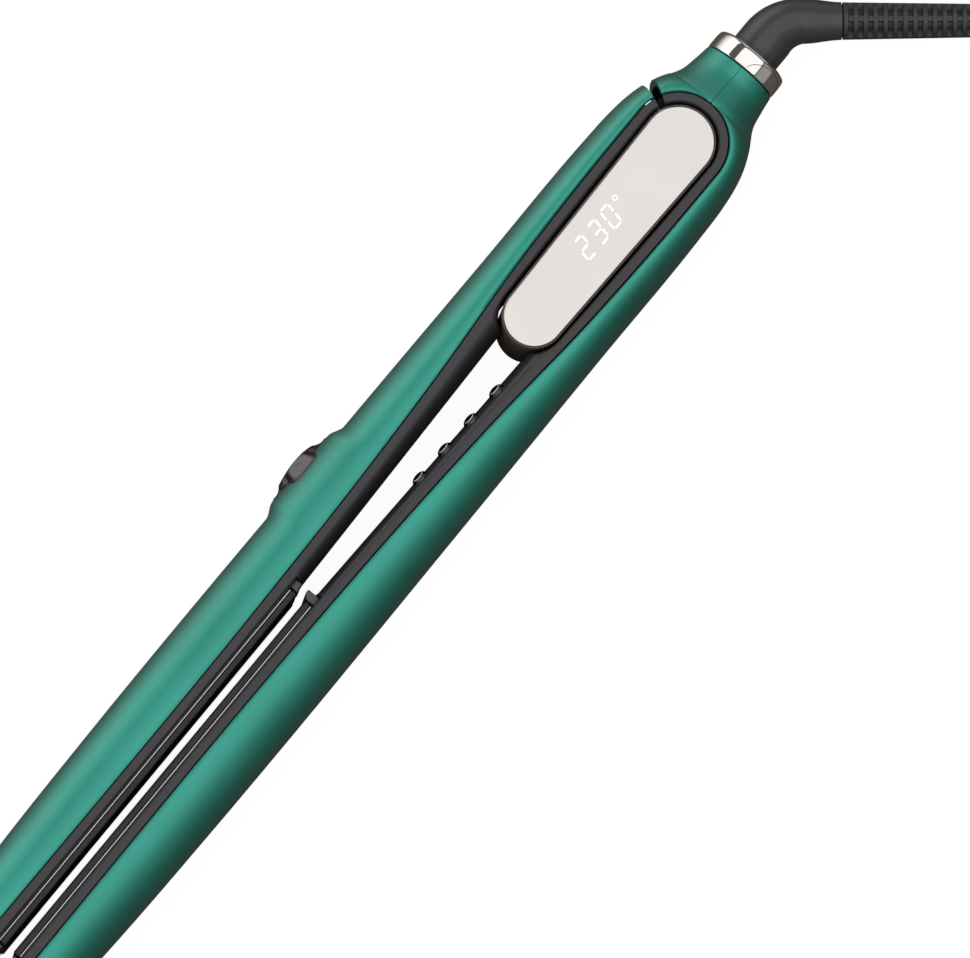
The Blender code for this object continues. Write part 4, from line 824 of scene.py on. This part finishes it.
lip("lower_groove_lip", 1, 148.0, 11.0, 12.9, 30.0, "lower_arm")
lip("pod_groove_lip", 1, 148.0, 8.6, 10.2, 12.0, "lower_arm")
lip("upper_groove_lip", -1, ARM_END_ANGLE, 11.0, 12.9, 30.0, "upper_arm")
end_seam, end_face = float(seam_y(TIP_X)) - SEAM_GAP, LEDGE_Y
end_shape = (end_seam, end_seam - FLAT_STRIP, end_face + 0.4, end_height, 6.0)
black_end = channel(*(np.array([value]) for value in end_shape), 24)
for side, where in ((1, "lower"), (-1, "upper")):
    tip_face(f"{where}_liner_tip", black_end, 0.0, side, black_nylon, f"{where}_arm")

# ---- Pod and display: metallised ABS wall round the hinge, with a half-mirrored acrylic window on top.
# The digits shine through the window's mirror layer.


def pod_line(shrink, count=48):
    """The pod's outline moved in by shrink: half a circle at each end."""
    a = np.linspace(np.pi / 2, 3 * np.pi / 2, count)
    b = np.linspace(-np.pi / 2, np.pi / 2, count)
    tail, tip = POD_TAIL_R - shrink, POD_TIP_R - shrink
    left = np.column_stack([tail * np.cos(a), tail * np.sin(a)])
    right = np.column_stack([POD_LENGTH + tip * np.cos(b), tip * np.sin(b)])
    return np.concatenate([left, right])


def pod_grid(profile):
    """The outline moved in by each pair's shrink, at that pair's height."""
    return np.array([np.column_stack([pod_line(shrink), np.full(96, z)]) for shrink, z in profile])


# Vacuum-metallised brown-grey, with streaks that run down the wall from the mould.
pod_metal = metal("metallised ABS", ("6A6057", "9A8F84"), (0.34, 0.5), 0.7, 4.0, (1, 1, 0.08), metallic=0.45)
wall_profile = (
    (0.25, 0.0), (0.06, 0.1), (0.0, 0.3), (0.0, 28.2), (0.04, 28.45), (0.1, 28.57), (0.17, 28.6),
    (0.24, 28.57), (0.28, 28.4), (0.28, 27.0), (POD_WALL, 27.0), (POD_WALL, 0.0),
)
pod = surface("pod_wall", pod_grid(wall_profile), pod_metal, "lower_arm", loop=True)
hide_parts("hinge_pod")
take_away(pod, [cutter("arm_window", block_grid((-6.0, -12.0, 7.2), (7.5, -4.5, 21.6)))])

# Silvered on the back: a pale warm grey with a soft cloud where it is hazy.
mirror = metal("half-mirrored acrylic", ("D5D2CF", "DAD8D5"), (0.12, 0.2), 20.0, 2.0, share=(0.35, 0.65))
lens_profile = ((0.38, 27.3), (0.38, 28.5), (0.42, 28.64), (0.52, 28.75), (0.7, 28.8))
lens = surface("display_window", pod_grid(lens_profile), mirror, "lower_arm", sharp=60)
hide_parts("display_lens")

glow_look, tree, place = new_material("white LED light through a mirror layer")
# even white glow, a little brighter than the window that it shines through
spot = add(tree, "TexNoise", {"Vector": place, "Scale": 1 / 0.0015}).outputs["Fac"]
power = add(tree, "MapRange", {"Value": spot, "To Min": 0.45, "To Max": 0.6})
shader = add(tree, "BsdfPrincipled", {
    "Base Color": hex_colour("F4F2F4"), "Roughness": 0.4, "Emission Color": hex_colour("FFF8FF"),
    "Emission Strength": power.outputs[0],
})
show(tree, shader.outputs[0])
DIGIT_WIDTH, DIGIT_HEIGHT, STROKE, SLANT = 2.7, 5.4, 0.56, 0.18
SEGMENTS = {
    "a": ((0, 1), (1, 1)), "b": ((1, 1), (1, 0.5)), "c": ((1, 0.5), (1, 0)), "d": ((0, 0), (1, 0)),
    "e": ((0, 0.5), (0, 0)), "f": ((0, 1), (0, 0.5)), "g": ((0, 0.5), (1, 0.5)),
}
DIGITS = ("abged", "abgcd", "abcdef")
DIGIT_XS = (36.2, 31.3, 26.4)
DEGREE_R = 0.75


def stroke(start, end, origin):
    """A flat hexagon bar between two corners of a digit, leaning with it, 0.04 mm proud of the window."""
    a, b = (np.array(p, float) * (DIGIT_WIDTH, DIGIT_HEIGHT) for p in (start, end))
    way = (b - a) / np.linalg.norm(b - a)
    across = np.array((-way[1], way[0])) * STROKE / 2
    a, b = a + way * 0.22, b - way * 0.22
    tip = way * STROKE / 2
    flat = np.array((a, a + tip + across, b - tip + across, b, b - tip - across, a + tip - across))
    u = flat[:, 0] + SLANT * flat[:, 1]
    x = origin[0] - u
    y = origin[1] - flat[:, 1]
    return np.array([np.column_stack([x, y, np.full(6, z)]) for z in (28.7, 28.84)])


bars = [
    stroke(*SEGMENTS[part], (x, 1.6)) for parts, x in zip(DIGITS, DIGIT_XS) for part in parts
]
a = np.linspace(0, 2 * np.pi, 24, endpoint=False)
circle = [
    np.column_stack([20.4 + r * np.cos(a), -3.2 + r * np.sin(a), np.full(24, z)])
    for r, z in ((DEGREE_R, 28.7), (DEGREE_R, 28.84), (DEGREE_R - 0.3, 28.84), (DEGREE_R - 0.3, 28.7))
]
surface("display_digits", bars, glow_look, "lower_arm", sharp=10)
surface("degree_ring", np.array(circle), glow_look, "lower_arm", loop=True)

# ---- Hinge: steel pin, clip, washers and spring inside the pod, and the nylon arm under the upper shell.
# The spring's one leg lies along the pod and the other pushes on the arm.

# Bright grey wire, mottled by handling marks about 0.4 mm across.
steel = metal("drawn spring steel", ("8F8E8C", "C9C7C4"), (0.22, 0.4), 0.4, 4.0)


def dress(look, *names):
    """Gives CAD nodes a better material in place of their plain one."""
    for name in names:
        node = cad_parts[name]
        node.data.materials.clear()
        node.data.materials.append(look)


# Dull grey, as glass-filled nylon is.
nylon = moulded("moulded grey nylon", "3A3A3C", 0.5, 0.5, 0.015)
# Glossy green, mottled by the mask.
circuit = moulded("green solder mask on glass epoxy", "14603A", 0.35, 0.8, 0.01, spread=0.2)
dress(steel, "hinge_pin", "hinge_clip", "pod_screw_1", "pod_screw_2", "hinge_arm_screw_1",
      "hinge_arm_screw_2")


def opening_line():
    """One leg along the pod, 3.25 turns of 4.2 mm round the pin, then a leg out beside the hinge arm."""
    a = np.pi / 2 + np.linspace(0, 6.5 * np.pi, 130)
    coil = np.column_stack([4.2 * np.cos(a), 4.2 * np.sin(a), 12.6 + 3.8 * (a - a[0]) / (6.5 * np.pi)])
    end = coil[-1]
    legs = [(end[0] + 0.6, y, end[2]) for y in (-3.6, -4.6, -5.2, -5.8, -6.4, -7.0, -7.6)]
    return np.concatenate([[(14.0, 4.2, 12.6), (7.0, 4.2, 12.6)], coil, legs])


spring = surface("opening_torsion_spring", tube_grid(opening_line(), 0.45, 10), steel, None)
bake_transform(spring)
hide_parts("opening_spring")
dress(nylon, "hinge_arm", "hinge_washer_low", "hinge_washer_high", "swivel_socket")
dress(circuit, "display_board", "button_board", "control_board", "power_switch_board")
dress(black_nylon, "pod_base_cover")
dress(brass, "brush_block")

# ---- Heating plates: aluminium extrusions with a dark ceramic coating on the face and sides.
# Each floats on two springs in a tray, with a flat heater clamped to its back and grey blocks at its ends.
PLATE_START, PLATE_END, PLATE_HALF = 143.0, 253.0, 12.5
PLATE_FACE_Y, PLATE_THICKNESS = 1.2, 2.0
# Smooth dark coat; faint lines run along the extrusion, about half a millimetre apart.
ceramic_coat = metal("ceramic-coated aluminium", ("1B1B1C", "3E3C3B"), (0.2, 0.36), 0.5, 3.0, (0.03, 1, 1),
                     metallic=0.7)


def plate_grid(side):
    """A rounded rectangle section, carried along the plate, with its ends drawn in by the rounding."""
    start, end = PLATE_START, PLATE_END
    x = np.array((start, start + 0.15, start + 0.5, end - 0.5, end - 0.15, end))
    inset = np.array((0.5, 0.15, 0.0, 0.0, 0.15, 0.5))
    a = np.linspace(0, np.pi / 2, 7)
    corner = 0.6
    half_y, half_z = PLATE_THICKNESS / 2, PLATE_HALF
    section = []
    for sy, sz, first in ((1, 1, 0), (-1, 1, 1), (-1, -1, 2), (1, -1, 3)):
        turn = a + first * np.pi / 2
        section.append(np.column_stack([
            sy * (half_y - corner) + corner * np.cos(turn), sz * (half_z - corner) + corner * np.sin(turn)
        ]))
    section = np.concatenate(section)
    squeeze_y = (half_y - inset)[:, None] / half_y
    squeeze_z = (half_z - inset)[:, None] / half_z
    y = section[:, 0] * squeeze_y
    z = section[:, 1] * squeeze_z
    middle = side * (PLATE_FACE_Y + half_y)
    return np.stack([np.broadcast_to(x[:, None], y.shape), middle + y, AXIS_Z + z], axis=-1)


# Light grey, flat and slightly rough.
heat_grey = moulded("moulded heat-proof plastic", "56565A", 0.45, 0.5, 0.03)
# Near-black, flat.
tray_black = moulded("moulded PPS", "1F1F21", 0.5, 0.5, 0.02)
# Chalky off-white, unglazed.
alumina = moulded("fired alumina", "D6D0C4", 0.6, 0.3, 0.01)
# Bare silver metal with a soft blur, seen as a thin bright line behind each plate.
extruded = moulded("extruded aluminium", "B9B9BA", 0.32, 0.3, 0.01, metallic=1.0)
for prefix, side in (("lower", 1), ("upper", -1)):
    body = f"{prefix}_plate_unit"
    plate = surface(f"{prefix}_hot_plate", plate_grid(side), ceramic_coat, body, sharp=50)
    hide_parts(f"{prefix}_plate")
    dress(alumina, f"{prefix}_heater")
    dress(extruded, f"{prefix}_heater_clamp")
    dress(heat_grey, f"{prefix}_end_block_root", f"{prefix}_end_block_tip")
    dress(tray_black, f"{prefix}_plate_tray")
    edge = block_grid((PLATE_START + 0.4, 3.02, AXIS_Z - 12.2), (PLATE_END - 0.4, 3.28, AXIS_Z + 12.3))
    edge = edge * (1, side, 1)
    surface(f"{prefix}_plate_back_edge", edge, extruded, body)
    for end, x in (("root", 162.0), ("tip", 234.0)):
        a = np.linspace(0, 5 * np.pi, 90)
        y = side * (7 + 3.3 * a / (5 * np.pi))
        coil = np.column_stack([x + 3 * np.cos(a), y, AXIS_Z + 3 * np.sin(a)])
        wire = tube_grid(coil, 0.35, 8)
        spring = surface(f"{prefix}_{end}_plate_spring", wire, steel, f"{prefix}_arm")
        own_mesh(spring)
        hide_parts(f"{prefix}_float_spring_{end}")

# ---- Control buttons: glossy black domes, each with a painted highlight: a pale broken arc on its side towards the camera.
# Each sits in a hole in the lower inner shell and is pressed against a switch on the board below.

# Deep black with a sharp clear reflection.
gloss_black = moulded("polished black acrylic", "0C0C0E", 0.1, 0.8, 0.002, coat=1.0)
# Flat white ink.
# Flat white: printed ink on the power symbol, and a painted highlight on each control key.
white_print_and_highlight = moulded("white ink print and painted key highlight", "E9E9EA", 0.5, 0.2, 0.004)
dress(gloss_black, "filter_capacitor")
dress(tray_black, "display_module")
dome_profile = (
    (-1.15, 0.0001), (-1.13, 0.5), (-1.05, 1.0), (-0.88, 1.5), (-0.62, 1.9), (-0.3, 2.12), (0.1, BUTTON_R),
    (2.1, BUTTON_R),
)


def arc_tube(centre, axis, radius, lift, start, end, thick, count=28):
    """A thin round bead on part of a circle about the axis, lift above the centre."""
    axis = np.array(axis) / np.linalg.norm(axis)
    side = np.array((1.0, 0.0, 0.0))
    up = np.cross(axis, side)
    t = np.radians(np.linspace(start, end, count))[:, None]
    middle = np.array(centre) - axis * lift
    line = middle + radius * (np.cos(t) * side + np.sin(t) * up)
    outward = np.cos(t) * side + np.sin(t) * up
    a = np.linspace(0, 2 * np.pi, 8, endpoint=False)[None, :, None]
    return line[:, None] + thick * (np.cos(a) * outward[:, None] + np.sin(a) * axis)


for number, x in enumerate(BUTTON_XS, 1):
    centre = button_place(x)
    dome_grid = turned(dome_profile, centre, PRESS, 40)
    dome = surface(f"key_dome_{number}", dome_grid, gloss_black, f"key_{number}", sharp=50)
    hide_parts(f"button_{number}")
    # painted highlight: a white arc on the dome's near side, where the key's glint shows
    bead = arc_tube(centre, PRESS, 1.55, 0.86, 205, 335, 0.1)
    surface(f"key_painted_highlight_{number}", bead, white_print_and_highlight, f"key_{number}")

# ---- Power button: round glossy button in a smoked chrome bezel that follows the upper arm's mound.
# The bezel is glued into the mound's hole; the button slides in it onto its own switch board.
BEZEL_HALF_LENGTH, BEZEL_HALF_WIDTH, BEZEL_EYE, POWER_R = 10.2, 5.6, (4.9, 8.8), 4.6
CREST_Y, CREST_RISE = 20.9, 1.55


def mound_top(x, z, lift):
    """The upper shell's outer face at a place along it and a height, moved out by lift."""
    seam = seam_y(x) + SEAM_GAP
    reach = outer_y(x, True) - seam
    share = (1 - (np.abs(z) / HALF_DEPTH) ** 2.25) ** (1 / 2.25)
    return -(seam + reach * share + lift)


def bezel_grid(count=200):
    """Between the round hole and a rim made of a leaf (power 1.6) and a wider box (power 6), joined
    smoothly. Its crest is a parabola along its length, and its flank blends from that to the shell."""
    a = np.linspace(0, 2 * np.pi, count, endpoint=False)
    c, s = np.abs(np.cos(a)), np.abs(np.sin(a))
    leaf = 1 / ((c / BEZEL_HALF_LENGTH) ** 1.6 + (s / BEZEL_HALF_WIDTH) ** 1.6) ** (1 / 1.6)
    eye = 1 / ((c / BEZEL_EYE[0]) ** 6 + (s / BEZEL_EYE[1]) ** 6) ** (1 / 6)
    rim = (leaf**14 + eye**14) ** (1 / 14) - 0.3
    hole = POWER_R + 0.25
    rows = []
    for share, height, drop in (
        (0, 0, 2.0), (0, 0, 0.35), (0.04, 0, 0.14), (0.12, 0, 0.03), (0.22, 0, 0.0), (0.3, 0.04, 0.02),
        (0.42, 0.25, 0.35), (0.58, 0.55, 0.5), (0.74, 0.8, 0.42), (0.86, 0.95, 0.2), (0.93, 1, 0.02),
        (0.98, 1, 0.0), (1, 1, 0.2), (1, 1, 0.9),
    ):
        r = hole * (1 - share) + rim * share
        x, z = MOUND_X + r * np.cos(a), r * np.sin(a)
        crest = -CREST_Y - CREST_RISE * (1 - ((x - MOUND_X) / BEZEL_HALF_LENGTH) ** 2)
        drop = drop * (1 - 0.75 * (1 - ramp(drop, 0.5, 0.8)) * np.abs(x - MOUND_X) / 10.2)
        y = crest * (1 - height) + mound_top(x, z, 0.2) * height + drop
        rows.append(np.column_stack([x, y, AXIS_Z + z]))
    return np.array(rows)


# Dark tinted mirror that shows the room as grey and black bands.
smoked = metal("smoked chrome plate", ("5C585D", "5C585D"), (0.1, 0.16), 3.0, 2.0)
bezel = surface("power_surround", bezel_grid(), smoked, "upper_arm", loop=True, sharp=50)
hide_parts("power_bezel")
button_back = -float(outer_y(np.array(MOUND_X), True))
button_profile = (
    (-0.98, 0.0001), (-1.0, 1.6), (-1.1, 2.6), (-1.2, 3.3), (-1.18, 3.9), (-1.02, 4.35), (-0.6, POWER_R),
    (2.2, POWER_R), (2.2, 5.1), (2.9, 5.1), (2.9, 0.0001),
)
cap_grid = turned(button_profile, (MOUND_X, button_back, AXIS_Z), (0, 1, 0), 64)
power = surface("power_cap", cap_grid, gloss_black, "power_key", sharp=50)
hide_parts("power_button")
bead = arc_tube((MOUND_X, button_back, AXIS_Z), (0, 1, 0), 1.5, 1.0, 120, 420, 0.13, 40)
surface("power_symbol_arc", bead, white_print_and_highlight, "power_key")
bar_line = np.array([(MOUND_X + s, button_back - 1.0, AXIS_Z) for s in (-0.4, -1.0, -1.9)])
symbol_bar = tube_grid(bar_line, 0.13, 8)
surface("power_symbol_bar", symbol_bar, white_print_and_highlight, "power_key")
